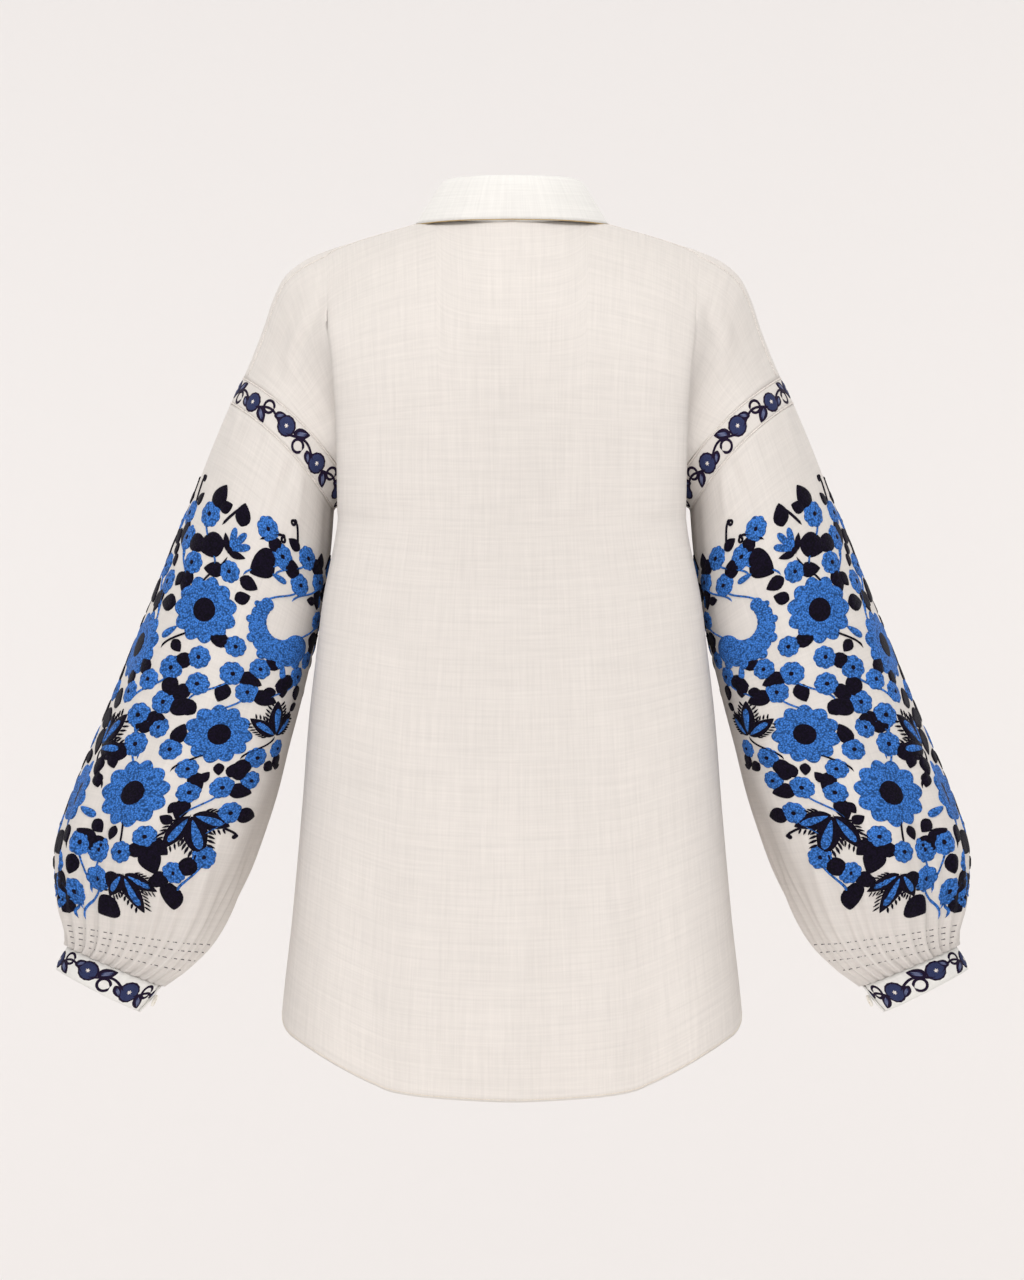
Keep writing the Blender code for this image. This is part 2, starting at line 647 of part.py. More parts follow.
def collar_profile(angle, share):
    """The turned-down collar: from the stand's edge over its roll and down to its own edge."""
    _, high = stand_edges(angle)
    degrees = np.degrees(np.abs(angle))
    knots = column(COLLAR_EDGE, COLLAR_COLUMNS, "angle")
    edge = [spline(degrees, knots, column(COLLAR_EDGE, COLLAR_COLUMNS, name)) for name in COLLAR_COLUMNS[1:]]
    edge = np.stack([edge[0] * np.sign(angle), edge[1], edge[2]], -1)
    outward = unit(np.stack([np.sin(angle), np.cos(angle), 0 * angle], -1))
    start = high + (0, 0, SEAM_GAP + 0.2)
    top = high + outward * 3.2 + (0, 0, COLLAR_ROLL)
    shoulder = high + outward * 6.0 + (0, 0, -1.0)
    if share < 0.3:
        return bezier(share / 0.3, start, start + (0, 0, COLLAR_ROLL), top, shoulder)
    t = (share - 0.3) / 0.7
    bend = shoulder + (edge - shoulder) * 0.4 + outward * 1.5
    return bezier(t, shoulder, shoulder + (shoulder - top) * 1.2, bend, edge)


def surface_tree(rows):
    """A search tree of one face of a panel, given as rows of points."""
    columns = len(rows[0])
    points = [tuple(point) for row in rows for point in row]
    faces = []
    for j in range(len(rows) - 1):
        for i in range(columns - 1):
            a = j * columns + i
            faces.append((a, a + 1, a + columns + 1, a + columns))
    return BVHTree.FromPolygons(points, faces)


def clear_of(points, trees, clearance):
    """How far each point moves out so that it clears the cloth below it."""
    moves = np.zeros_like(points)
    middle = np.array((0, 0, -150.0))
    for tree in trees:
        for i, point in enumerate(points):
            at = point + moves[i]
            place, normal, _, distance = tree.find_nearest(tuple(at))
            out = np.array(normal)
            if out @ (np.array(place) - middle) < 0:
                out = -out
            height = float((at - np.array(place)) @ out)
            if distance < 40 and height < clearance:
                moves[i] += out * (clearance - height)
    return moves


def build_collar(below, finish):
    """The turned-down collar with its two points, open at the front."""
    end = math.radians(COLLAR_END)
    angle = np.linspace(-end, end, 2 * COLLAR_STEPS + 1)
    step = 0.01
    outer, inner = [], []
    for share in (0, 0.1, 0.2, 0.3, 0.5, 0.7, 0.85, 1.0):
        ring = collar_profile(angle, share)
        low, high = max(share - step, 0), min(share + step, 1)
        along = collar_profile(angle, high) - collar_profile(angle, low)
        round_it = collar_profile(angle + step, share) - collar_profile(angle - step, share)
        under = ring + unit(np.cross(round_it, along)) * WALL
        if share > 0.4:
            behind = (np.cos(angle) > 0)[:, None]
            over_back = clear_of(under, below[:1], COLLAR_CLEARANCE)
            over_front = clear_of(under, below[1:], COLLAR_CLEARANCE)
            moves = np.where(behind, over_back, over_front)
            ring, under = ring + moves, under + moves
        outer.append(ring)
        inner.append(under)
    cloth("collar", inner, outer, False, finish)


def build_button(name, centre, direction, tree, finish):
    """A round button, seated on the cloth below it."""
    facing = Vector(direction).to_track_quat("Z", "Y")
    reach = 10.0
    start = Vector(centre) + Vector(direction) * reach
    heights = []
    for i in range(BUTTON_SIDES):
        turn = 2 * math.pi * i / BUTTON_SIDES
        rim = Vector((math.cos(turn), math.sin(turn), 0)) * BUTTON_RADIUS
        heights.append(tree.ray_cast(start + facing @ rim, -Vector(direction))[3])
    heights.append(tree.ray_cast(start, -Vector(direction))[3])
    lowest = min(height for height in heights if height is not None)
    seat = start - Vector(direction) * (lowest - BUTTON_GAP)
    bm = bmesh.new()
    place = Matrix.Translation((0, 0, BUTTON_THICKNESS * MM / 2))
    radii = {"radius1": BUTTON_RADIUS * MM, "radius2": BUTTON_RADIUS * MM * 0.92}
    bmesh.ops.create_cone(
        bm, cap_ends=True, segments=BUTTON_SIDES, depth=BUTTON_THICKNESS * MM, matrix=place, **radii
    )
    mesh = bpy.data.meshes.new(name)
    bm.to_mesh(mesh)
    bm.free()
    mesh.materials.append(finish)
    obj = bpy.data.objects.new(name, mesh)
    obj.location = seat * MM
    obj.rotation_mode = "QUATERNION"
    obj.rotation_quaternion = facing
    bpy.context.scene.collection.objects.link(obj)


def build_front_buttons(tree, finish):
    """The front row, on the centre line of the right front."""
    v = np.linspace(-1.99, 0.98, 400)
    line = body_surface(0.0, v, -1)
    for i in range(BUTTONS):
        wanted = FIRST_BUTTON_Z + (LAST_BUTTON_Z - FIRST_BUTTON_Z) * i / (BUTTONS - 1)
        at = int(np.argmin(np.abs(line[:, 2] - wanted)))
        out = body_normal(np.array(0.0), v[at], -1)
        build_button("button_front_%d" % (i + 1), line[at], out, tree, finish)


def build_stand_button(tree, finish):
    low, high = stand_edges(np.array([math.pi]))
    out = unit(np.cross(high[0] - low[0], (-1, 0, 0)))
    build_button("button_stand", (low[0] + high[0]) / 2, out, tree, finish)


def build_cuff_button(name, way, tree, finish):
    """The cuff's button, on its upper end."""
    row = [(a + b) / 2 for a, b in zip(CUFF_TOP, CUFF_BOTTOM)]
    angle = np.array([math.radians(CUFF_BUTTON_ANGLE)])
    out = -ring_inward(angle, row)[0]
    centre = ring_points(angle, *row)[0]
    if way < 0:
        centre, out = mirrored(centre), mirrored(out)
    build_button(name, centre, out, tree, finish)


def main():
    clear_scene()
    linen = material("linen", LINEN, 0.85)
    shell = material("button", SHELL_BUTTON, 0.35)
    body = [build_back(linen)]
    body.append(build_front("front_left", 1, linen))
    body.append(build_front("front_right", -1, linen))
    for side_name, way in (("left", 1), ("right", -1)):
        build_strip("armhole_strip_" + side_name, way, linen)
        build_sleeve("sleeve_" + side_name, way, linen)
        cuff = build_cuff("cuff_" + side_name, way, linen)
        build_cuff_button("button_cuff_" + side_name, way, cuff, shell)
    stand = build_stand(linen)
    build_collar(body, linen)
    build_front_buttons(body[2], shell)
    build_stand_button(stand, shell)


main()
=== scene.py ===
"""The looks of a loose linen blouse: fine cloth, raised stitching on the sleeves, buttons and a studio.

Tables give sizes in millimetres, as the solids' own design does, and the meshes are in metres.
"""

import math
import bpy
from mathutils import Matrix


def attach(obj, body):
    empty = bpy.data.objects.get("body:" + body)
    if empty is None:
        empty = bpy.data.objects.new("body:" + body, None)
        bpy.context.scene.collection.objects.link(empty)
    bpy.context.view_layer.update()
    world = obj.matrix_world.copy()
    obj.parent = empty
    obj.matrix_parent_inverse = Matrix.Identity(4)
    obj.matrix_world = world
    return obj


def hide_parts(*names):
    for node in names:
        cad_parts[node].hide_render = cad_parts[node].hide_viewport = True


bl_info = {
    "name": "Linen Blouse",
    "version": (1, 0, 0),
    "blender": (4, 5, 0),
    "location": "View3D > Sidebar > Blouse",
    "description": "Dresses the solids of a linen blouse with cloth, embroidery, buttons and a studio",
    "category": "Object",
}

import bmesh
import bpy
import numpy as np
from mathutils import Vector
from mathutils.bvhtree import BVHTree

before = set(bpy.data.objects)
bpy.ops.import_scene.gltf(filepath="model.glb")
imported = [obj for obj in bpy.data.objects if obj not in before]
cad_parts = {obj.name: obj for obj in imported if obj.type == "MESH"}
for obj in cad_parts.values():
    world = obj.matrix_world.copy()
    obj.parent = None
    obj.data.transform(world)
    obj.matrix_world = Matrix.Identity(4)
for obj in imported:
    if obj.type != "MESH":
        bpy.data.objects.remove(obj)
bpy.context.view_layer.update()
MM = 0.001

# Neck and shoulder
NECK_HALF_WIDTH = 66.0
NECK_SIDE_Y = -4.0
NAPE_Y = 56.0
PIT_OF_NECK_Y = -80.0
SHOULDER_X_AT_CREST = 160.0   # where the shoulder line stands over the fold behind the arm
SEAM_TURN = 18.0              # degrees that the shoulder seam lies behind the top of the arm
SHOULDER_COLUMNS = ("x", "z")
SHOULDER_LINE = (
    (0, 22), (22, 18), (44, 11), (66, 3), (88, -4), (112, -11), (138, -18.5), (160, -25.5), (179, -34),
    (195, -47), (205, -66), (213, -90), (222, -114), (231, -135),
)

# Armhole
ARMHOLE_TOP = (231.0, -135.0)
UNDERARM = (137.0, -232.0)
ARMHOLE_HALF_DEPTH = 62.0
ARMHOLE_BOW = 9.0             # how far the seam curves up behind and in front of the arm

# Body rows and sections
ROW_COLUMNS = ("centre_y", "centre_z", "crest_x", "crest_y", "crest_z", "hollow_x", "hollow_y")
BLADE_ROW = (112, -150, 150, 82, -160, 145, 48)
CHEST_ROW = (-124, -160, 154, -78, -165, 147, -48)
FRONT_ROUNDING = 45.0          # degrees of turn from the chest up to the shoulder at the front's centre
UNDERARM_ROW_Z = (-262, -256)  # at the centre and at the crest
SECTION_COLUMNS = (
    "z", "crest_x", "seam_x", "back_y", "back_crest_y", "front_y", "front_crest_y",
)
SECTIONS = (
    (-225, 145.5, 135.0, 110, 76, -128, -74),
    (-262, 148.5, 134.0, 107, 72, -129, -72),
    (-326, 161.0, 142.0, 103, 62, -130, -64),
    (-370, 166.5, 152.0, 102, 54, -129, -56),
    (-420, 172.5, 168.0, 102, 46, -128, -48),
    (-500, 179.0, 179.0, 104, 40, -129, -42),
    (-600, 188.0, 189.0, 109, 38, -131, -40),
    (-690, 197.0, 198.5, 114, 38, -134, -40),
    (-765, 199.0, 201.0, 116, 38, -136, -40),
)
FOLD_END = 0.95               # turn, as an angle, by which the fold beside the arm has opened out
FOLD_FLATTENED = 17.0         # how far the fold moves out towards the underarm
FOLD_OPENED = (18.0, 27.0)    # and in x and y towards the shoulder
UNDERARM_TURN = 8.0           # degrees that the cloth turns at the centre between chest and underarm
ROUNDNESS = 2.6               # exponent of the back's and the front's round corners
HEM_SIDE_Z = -691.0
HEM_CENTRE_Z = -750.0
HEM_TAIL_RISE = 9.5            # from the centre to the ends of the tail
HEM_TAIL_HALF_WIDTH = 0.58    # share of the half width over which the tail is nearly level
HEM_BEND = 0.1                # how gently the tail turns into the slant
HEM_CORNER = 10.0             # how far the hem's corner at the side is rounded up
HEM_CORNER_START = 0.945      # share of the half width where the rounding starts
FLUTE_DEPTH = 2.5             # soft flutes at the hem
FLUTE_START_Z = -420.0        # where they begin, and how much farther down they are at their full depth
FLUTE_GROWTH = 280.0
FLUTES = 5                    # in half of the back or front
NECK_STEPS = 7                # steps in a quarter of the neck, of which one is the fronts' overlap
OVERLAP = NECK_HALF_WIDTH * math.sin(math.pi / 2 / NECK_STEPS)    # how far each front runs past the centre
OVERLAP_FADE = 55.0           # distance from the centre where the fronts have stopped parting

# Layers
LAYER_GAP = 0.5
SEAM_GAP = 0.1

# Soft creases: side (1 back, -1 front), a line from x, z to x, z, height (a trough is below 0) and half width
CREASES = (
    (1, 168, -66, 181, -128, -1.6, 5), (1, 176, -84, 190, -140, 1.5, 6), (1, 186, -60, 203, -120, -1.2, 6),
    (1, 154, -60, 162, -120, 1.2, 8), (1, 118, -170, 136, -330, 1.3, 16),
    (1, 98, -230, 108, -420, -1.2, 14), (1, 60, -60, 72, -230, -0.9, 14), (1, -64, -90, -58, -300, 0.9, 15),
    (1, -120, -190, -140, -380, 1.4, 15), (1, -96, -300, -120, -520, -1.3, 16),
    (1, 20, -420, 34, -700, 1.2, 18), (1, -36, -460, -30, -730, -1.3, 16),
    (1, 128, -420, 150, -660, -1.6, 14), (1, 150, -440, 176, -650, 1.5, 11),
    (1, -150, -430, -170, -670, 1.6, 12), (1, -84, -520, -92, -735, 1.4, 17),
    (1, 84, -540, 90, -735, -1.4, 15), (1, -168, -70, -181, -130, -1.5, 5),
    (1, -177, -88, -190, -138, 1.4, 6), (1, -152, -64, -163, -124, 1.1, 8),
    (1, -188, -64, -204, -122, -1.1, 6), (-1, 160, -80, 176, -140, -1.6, 6),
    (-1, -162, -84, -178, -142, -1.5, 6), (-1, 70, -90, 96, -260, 1.5, 14),
    (-1, -72, -110, -92, -300, 1.3, 13), (-1, 44, -200, 58, -460, -1.2, 15),
    (-1, -50, -260, -66, -520, -1.3, 16), (-1, 110, -300, 140, -600, 1.7, 15),
    (-1, -112, -320, -146, -620, 1.6, 14), (-1, 80, -480, 92, -735, -1.5, 15),
    (-1, -84, -500, -96, -735, -1.4, 14), (-1, 146, -430, 172, -660, -1.6, 11),
    (-1, -148, -410, -174, -650, -1.5, 12),
)

CREASE_RISE = 1.6             # gain on the heights of the table

# Sleeve
SLEEVE_COLUMNS = ("outer_x", "outer_z", "inner_x", "inner_z", "half_depth", "centre_y", "bow")
SLEEVE_SECTIONS = (
    (241.5, -156, 153, -248, 64, 0, 8),
    (257, -193, 156, -286, 69, -1, 6),
    (277, -245, 162, -330, 74, -3, 4),
    (302, -307, 172, -376, 78, -5, 2),
    (329, -374, 185, -427, 82, -8, 0),
    (355, -440, 199, -478, 86, -11, 0),
    (379, -497, 215, -525, 88, -14, 0),
    (393, -543, 230, -563, 85, -17, 0),
    (392, -582, 246, -596, 72, -20, 0),
    (387, -606, 264, -625, 54, -22, 0),
    (384.5, -619, 284, -645, 38, -23, 0),
    (384, -624, 303, -658, 29, -24, 0),
)
GATHERS = 28                  # round the wrist
GATHER_HEIGHT = 2.8
GATHER_START = 5              # the section where the gathers begin to show
BILLOWS = 7                   # broad folds round the full part of the sleeve
BILLOW_HEIGHT = 3.0
# Soft folds that hang from the strip: degrees round the sleeve, height, width and length in sections
TOP_FOLDS = (
    (22, -1.8, 7, 2.2), (37, 1.6, 6, 1.8), (64, -1.5, 7, 1.5), (96, -1.9, 6, 2.4), (112, 1.5, 6, 1.6),
    (150, -1.4, 8, 1.9), (205, 1.4, 8, 1.7), (238, -1.7, 7, 2.1), (275, 1.5, 6, 1.5), (312, -1.6, 7, 2.3),
    (338, 1.4, 6, 1.6),
)

# Cuff and collar
CUFF_TOP = (384.0, -624.5, 303.0, -658.5, 29.0, -24.0, 0.0)
CUFF_BOTTOM = (394.0, -644.0, 321.5, -681.0, 27.0, -26.0, 0.0)
CUFF_WIDTH = 23.0
STRIP_WIDTH = 23.0
CUFF_SWELL = 0.5              # how far the cuff bulges in the middle of its width
CUFF_OVERLAP = 20.0           # degrees
CUFF_END = 168.0              # degrees from the outer side, round the back, where the upper end lies
STAND_TOP_HALF_WIDTH = 54.0
STAND_TOP_BACK = (49.0, 33.5)     # y and z at the back
STAND_TOP_SIDE = (-4.0, 33.0)     # y and z at the side
STAND_TOP_FRONT = (-75.0, -15.0)  # y and z at the front
COLLAR_ROLL = 2.6             # how far the collar rises over the stand before it turns down
ROLL_OUT = 3.2                # how far out it stands there, and where its fall begins
FALL_OUT = 6.0
ROLL_SHARE = 0.3              # share of the rows that the roll takes up
COLLAR_COLUMNS = ("angle", "edge_x", "edge_y", "edge_z")
COLLAR_EDGE = (
    (0, 0, 57.5, -1.2), (30, 40, 50.5, -1.6), (60, 70, 27.5, -2.6), (85, 82, -4, -3.4), (110, 80, -38, -10),
    (135, 69, -62, -33), (155, 55, -90, -62), (168, 45, -101, -83),
)
COLLAR_END = 168.0
COLLAR_CLEARANCE = 0.6            # between the collar and the cloth below it
CLEARING_REACH = 40.0             # farthest cloth that can push the collar out
CLEARING_START = 0.4              # share of the rows above which nothing pushes it
MIDDLE_OF_CHEST = np.array((0, 0, -150.0))
STAND_RISE = 0.4

SIDES = (("left", 1), ("right", -1))

# Stitching
VINE_HEIGHT = 0.6
STRIP_REPEATS = 10            # repeats of the vine round a strip
CUFF_REPEATS = 6
CUFF_VINE_END = 12.0          # bare cloth at both ends of the cuff
HEM_STITCH_RISE = 0.004       # share of the way from the hem to the underarm
# The collar's edge line is stitched in a dark golden thread. It paints the thin shadow that the collar's edge
# casts on the back.
COLLAR_SHADOW_LINE = 1.5             # width of the line of stitches along the collar's edge
FELLED_SEAM = 1.3             # width of a turned and sewn seam
PLACKET_LINES = (8.0, 32.0)   # x of the lines of stitches beside the front edge
GATHER_ROWS = (5.0, 10.0, 15.0, 20.0)    # distance of the rows of dashes from the cuff
GATHER_DASH = 0.02            # half a dash, as an angle
GATHER_STITCH = 0.8

# How finely the cloth is divided
HALF_COLUMNS = 88
HEM_ROWS = 100
UNDERARM_ROWS = 24
SHOULDER_ROWS = 44
SLEEVE_ROWS = 118
POINTS_A_GATHER = 8
STAND_FINENESS = 8
STAND_ROWS = 9
COLLAR_POINTS = 241
COLLAR_ROWS = 31
STRIP_POINTS = 224
STRIP_ROWS = 9
CUFF_POINTS = 200
CUFF_ROWS = 9


def spline(x, knots, values):
    """A smooth curve through the values at the knots: cubic pieces that share their slopes."""
    knots = np.asarray(knots, float)
    values = np.asarray(values, float)
    if knots[0] > knots[-1]:
        knots, values = knots[::-1], values[::-1]
    slopes = np.gradient(values, knots)
    x = np.clip(x, knots[0], knots[-1])
    i = np.clip(np.searchsorted(knots, x, side="right") - 1, 0, len(knots) - 2)
    width = knots[i + 1] - knots[i]
    t = (x - knots[i]) / width
    start = (1 + 2 * t) * (1 - t) ** 2 * values[i] + t * (1 - t) ** 2 * width * slopes[i]
    end = t * t * (3 - 2 * t) * values[i + 1] - t * t * (1 - t) * width * slopes[i + 1]
    return start + end


def column(table, names, name):
    return [row[names.index(name)] for row in table]


def ease(t):
    t = np.clip(t, 0, 1)
    return t * t * (3 - 2 * t)


def bezier(t, a, b, c, d):
    return (1 - t) ** 3 * a + 3 * (1 - t) ** 2 * t * b + 3 * (1 - t) * t * t * c + t**3 * d


def unit(vectors):
    return vectors / np.maximum(np.linalg.norm(vectors, axis=-1, keepdims=True), 1e-9)


def mirrored(points):
    return points * (-1, 1, 1)


# The body's surface
# u runs from the centre (0) to the fold's crest beside the arm (1) and on to the side seam or the armhole (2)

ARMHOLE_CENTRE = (np.array(ARMHOLE_TOP) + np.array(UNDERARM)) / 2
ARMHOLE_REACH = (np.array(ARMHOLE_TOP) - np.array(UNDERARM)) / 2
ARMHOLE_OUTWARD = np.array((ARMHOLE_REACH[1], -ARMHOLE_REACH[0])) / np.linalg.norm(ARMHOLE_REACH)


def corner_share(u):
    """The share of the crest's x at u, with the points crowded towards the round corner."""
    return np.sin(np.clip(u, 0, 1) * math.pi / 2) ** (2 / ROUNDNESS)


def column_at(x):
    """The u where the shoulder line stands at x."""
    return np.arcsin((np.abs(x) / SHOULDER_X_AT_CREST) ** (ROUNDNESS / 2)) * 2 / math.pi


def row_points(u, centre, crest, hollow, end, end_pull, opened):
    """One row: a round corner from the centre to the crest, then a curve through the hollow to its end.

    An opened row has no corner, and runs on past the crest without a break.
    """
    share = corner_share(u)
    turn = np.cos(np.clip(u, 0, 1) * math.pi / 2)
    depth = turn ** (2 / ROUNDNESS) * (1 - opened) + turn**2 * opened
    x = crest[0] * share
    y = crest[1] + (centre[1] - crest[1]) * depth
    z = centre[2] + (crest[2] - centre[2]) * share**2
    r = np.clip(u - 1, 0, 1)
    past = np.stack([bezier(r, crest[k], hollow[k], end_pull[k], end[k]) for k in range(3)], -1)
    return np.where((u > 1)[..., None], past, np.stack([x, y, z], -1))


def section(u, z, side):
    """The outline at height z, below the underarm. side is 1 at the back and -1 at the front."""
    face = "back" if side > 0 else "front"
    heights = column(SECTIONS, SECTION_COLUMNS, "z")
    wanted = ("crest_x", "seam_x", face + "_y", face + "_crest_y")
    crest_x, seam_x, centre_y, crest_y = (
        spline(z, heights, column(SECTIONS, SECTION_COLUMNS, name)) for name in wanted
    )
    share = corner_share(u)
    depth = np.cos(np.clip(u, 0, 1) * math.pi / 2) ** (2 / ROUNDNESS)
    r = np.clip(u - 1, 0, 1)
    x = np.where(u > 1, bezier(r, crest_x, crest_x, seam_x, seam_x), crest_x * share)
    side_y = bezier(r, crest_y, crest_y * 0.62, crest_y * 0.3, 0)
    y = np.where(u > 1, side_y, crest_y + (centre_y - crest_y) * depth)
    grown = ease((FLUTE_START_Z - z) / FLUTE_GROWTH)
    flute = FLUTE_DEPTH * grown * np.cos(share * FLUTES * math.pi) * (1 - r) ** 2
    return np.stack([x, y + side * flute, z + 0 * x], -1)


def hem_z(u):
    """The hem's height: nearly level across the tail, then a slant up to a rounded corner at the side."""
    share = np.where(u > 1, 1 + 0.12 * (u - 1), corner_share(u))
    tail = HEM_TAIL_RISE * np.clip(share / HEM_TAIL_HALF_WIDTH, 0, 1) ** 2
    past = (share - HEM_TAIL_HALF_WIDTH + 0.04) / (1.04 - HEM_TAIL_HALF_WIDTH)
    slant = np.clip((past + np.sqrt(past**2 + HEM_BEND**2)) / 2, 0, 1)
    rise = (HEM_SIDE_Z - HEM_CENTRE_Z - HEM_TAIL_RISE) * (slant**1.15)
    turn = np.clip((share - HEM_CORNER_START) / (1 - HEM_CORNER_START), 0, 1)
    corner = HEM_CORNER * (1 - np.sqrt(1 - turn**2))
    return HEM_CENTRE_Z + tail + np.minimum(rise, HEM_SIDE_Z - HEM_CENTRE_Z - HEM_TAIL_RISE) + corner


def underarm_row_z(u):
    centre, crest = UNDERARM_ROW_Z
    side_z = crest + (UNDERARM[1] - crest) * ease(u - 1)
    return np.where(u > 1, side_z, centre + (crest - centre) * corner_share(u) ** 2)


def blade_row(u, side, flattened=0.0, opened=0.0):
    """The row through the shoulder blades or the chest, with the deep fold beside the arm.

    Towards the underarm the fold is flattened, so that the cloth runs straight into the seam, and towards the
    shoulder it opens out.
    """
    row = dict(zip(ROW_COLUMNS, BLADE_ROW if side > 0 else CHEST_ROW))
    bow = -ARMHOLE_BOW * ARMHOLE_OUTWARD
    end = (ARMHOLE_CENTRE[0] + bow[0], side * ARMHOLE_HALF_DEPTH, ARMHOLE_CENTRE[1] + bow[1])
    centre = (0, row["centre_y"], row["centre_z"])
    crest = (row["crest_x"], row["crest_y"], row["crest_z"])
    hollow_y = row["hollow_y"] + side * (FOLD_FLATTENED * flattened + FOLD_OPENED[1] * opened)
    hollow = (row["hollow_x"] + FOLD_OPENED[0] * opened, hollow_y, row["crest_z"] - 4)
    pull = (end[0] - 16, end[1] - side * (5 - 9 * flattened), end[2] + 6)
    return row_points(u, centre, crest, hollow, end, pull, opened)


def ridge_row(u):
    """The shoulder line, out to the armhole. Inside the neck it runs on over the opening."""
    points = np.array(SHOULDER_LINE, float)
    x = SHOULDER_X_AT_CREST * corner_share(u)
    z = spline(x, points[:, 0], points[:, 1])
    run = run_along(points)
    start = np.interp(SHOULDER_X_AT_CREST, points[:, 0], run)
    along = start + (run[-1] - start) * np.clip(u - 1, 0, 1)
    x = np.where(u > 1, spline(along, run, points[:, 0]), x)
    z = np.where(u > 1, spline(along, run, points[:, 1]), z)
    return np.stack([x, NECK_SIDE_Y * (1 - ease(u - 1)), z], -1)


def loft(low, high, turn, limit):
    """Between two rows: height and width follow the sine of the turn, depth its cosine."""
    up = np.sin(turn) / np.sin(limit)
    over = (1 - np.cos(turn)) / (1 - np.cos(limit))
    return low + (high - low) * np.stack([up, over, up], -1), up


def bow_offset(u, share):
    """What the armhole's bow adds between the middle and the ends of its seam."""
    amount = -ARMHOLE_BOW * share * (1 - share) * ease(u - 1)
    return np.stack([amount * ARMHOLE_OUTWARD[0], 0 * amount, amount * ARMHOLE_OUTWARD[1]], -1)


def shoulder_surface(u, turn, side):
    """From the blade or chest row (turn 0) up to the neckline and the shoulder line (a quarter turn)."""
    low, high = blade_row(u, side, opened=ease(turn / FOLD_END)), ridge_row(u)
    centre_limit = math.pi / 2 if side > 0 else math.radians(FRONT_ROUNDING)
    limit = centre_limit + (math.pi / 2 - centre_limit) * ease(u / 0.9)
    across = np.clip(high[..., 0] / NECK_HALF_WIDTH, 0, 1)
    neck_y = NECK_SIDE_Y + ((NAPE_Y if side > 0 else PIT_OF_NECK_Y) - NECK_SIDE_Y) * np.sqrt(1 - across**2)
    over_end = (low[..., 1] - neck_y) / (low[..., 1] - high[..., 1])
    end = np.arccos(1 - over_end * (1 - np.cos(limit)))
    end = np.where(across < 1, end, limit)
    surface, share = loft(low, high, turn * end / (math.pi / 2), limit)
    return surface + bow_offset(u, share)


def underarm_surface(u, turn, side):
    """From the blade or chest row (turn 0) down to the underarm row."""
    limit = math.radians(UNDERARM_TURN) + math.radians(90 - UNDERARM_TURN) * ease(u - 1)
    low = section(u, underarm_row_z(u), side)
    high = blade_row(u, side, ease(turn / (math.pi / 2) / 0.35))
    surface, share = loft(high, low, turn * limit / (math.pi / 2), limit)
    return surface + bow_offset(u, share)


def body_surface(u, v, side):
    """v is -2 at the hem, -1 at the underarm row, 0 at the blade or chest row and 1 at the shoulder line.

    Past 1 the surface goes on over the shoulder to the other side.
    """
    u, v = np.broadcast_arrays(np.asarray(u, float), np.asarray(v, float))
    quarter = math.pi / 2
    row_z = underarm_row_z(u)
    z = row_z + (hem_z(u) - row_z) * np.clip(-1 - v, 0, 1)
    lower = section(u, z, side)
    under = underarm_surface(u, np.clip(-v, 0, 1) * quarter, side)
    upper = shoulder_surface(u, np.clip(v, 0, 1) * quarter, side)
    beyond = shoulder_surface(u, np.clip(2 - v, 0, 1) * quarter, -side)
    made = np.where((v < -1)[..., None], lower, under)
    made = np.where((v > 0)[..., None], upper, made)
    return np.where((v > 1)[..., None], beyond, made)


def body_normal(u, v, side):
    """The direction out of the cloth, from small steps along u and v."""
    step = 0.004
    u, v = np.broadcast_arrays(np.asarray(u, float), np.asarray(v, float))
    low_v = np.where((v > -1) & (v < -1 + step), -1, v - step)
    high_v = np.where((v <= -1) & (v > -1 - step), -1, v + step)
    right = body_surface(np.minimum(u + step, 2), v, side)
    left = body_surface(np.maximum(u - step, 0), v, side)
    above = body_surface(u, np.maximum(high_v, -2 + step), side)
    below = body_surface(u, np.maximum(low_v, -2), side)
    return unit(np.cross(above - below, right - left)) * side


def kept_behind_ring(inward):
    """Directions turned so that a wall doesn't reach past the armhole's ring."""
    axis = np.array((ARMHOLE_OUTWARD[0], 0, ARMHOLE_OUTWARD[1]))
    past = np.maximum(inward @ axis, 0)[..., None]
    turned = inward - past * axis
    return turned / np.maximum((turned**2).sum(-1, keepdims=True), 0.4)


def neck_mitre(points):
    """The direction that the neckline's wall and the stand's wall share at the seam between them."""
    outward = unit(points * (1, 1, 0))
    return unit(outward + (0, 0, 0.9))


def crease_height(points, side, strength):
    """Soft troughs and ridges: each is a bell across its line and swells and fades along it."""
    total = np.zeros(points.shape[:-1])
    x, z = points[..., 0], points[..., 2]
    for face, x1, z1, x2, z2, height, width in CREASES:
        if face != side:
            continue
        length = math.hypot(x2 - x1, z2 - z1)
        along = ((x - x1) * (x2 - x1) + (z - z1) * (z2 - z1)) / length**2
        across = ((x - x1) * (z2 - z1) - (z - z1) * (x2 - x1)) / length
        across = across + 5 * np.sin(along * 3 + x1)
        swell = np.sin(np.clip(along, 0, 1) * math.pi) ** 0.8
        total += height * swell * np.exp(-((across / width) ** 2))
    ripple = 0.35 * np.sin(x / 17 + 1.7 * np.sin(z / 60)) * np.sin(z / 41 + 0.8 * np.sin(x / 35))
    return strength * (CREASE_RISE * total + ripple)


def even_columns():
    """u values at even steps of length along a row, with one where the shoulder line meets the neck."""
    fine = np.linspace(0, 2, 2001)
    row = body_surface(fine, np.full_like(fine, -0.9), 1)
    run = run_along(row)
    u = np.interp(np.linspace(0, run[-1], HALF_COLUMNS + 1), run, fine)
    for wanted in (column_at(OVERLAP), column_at(NECK_HALF_WIDTH)):
        u[np.argmin(np.abs(u - wanted))] = wanted
    return u


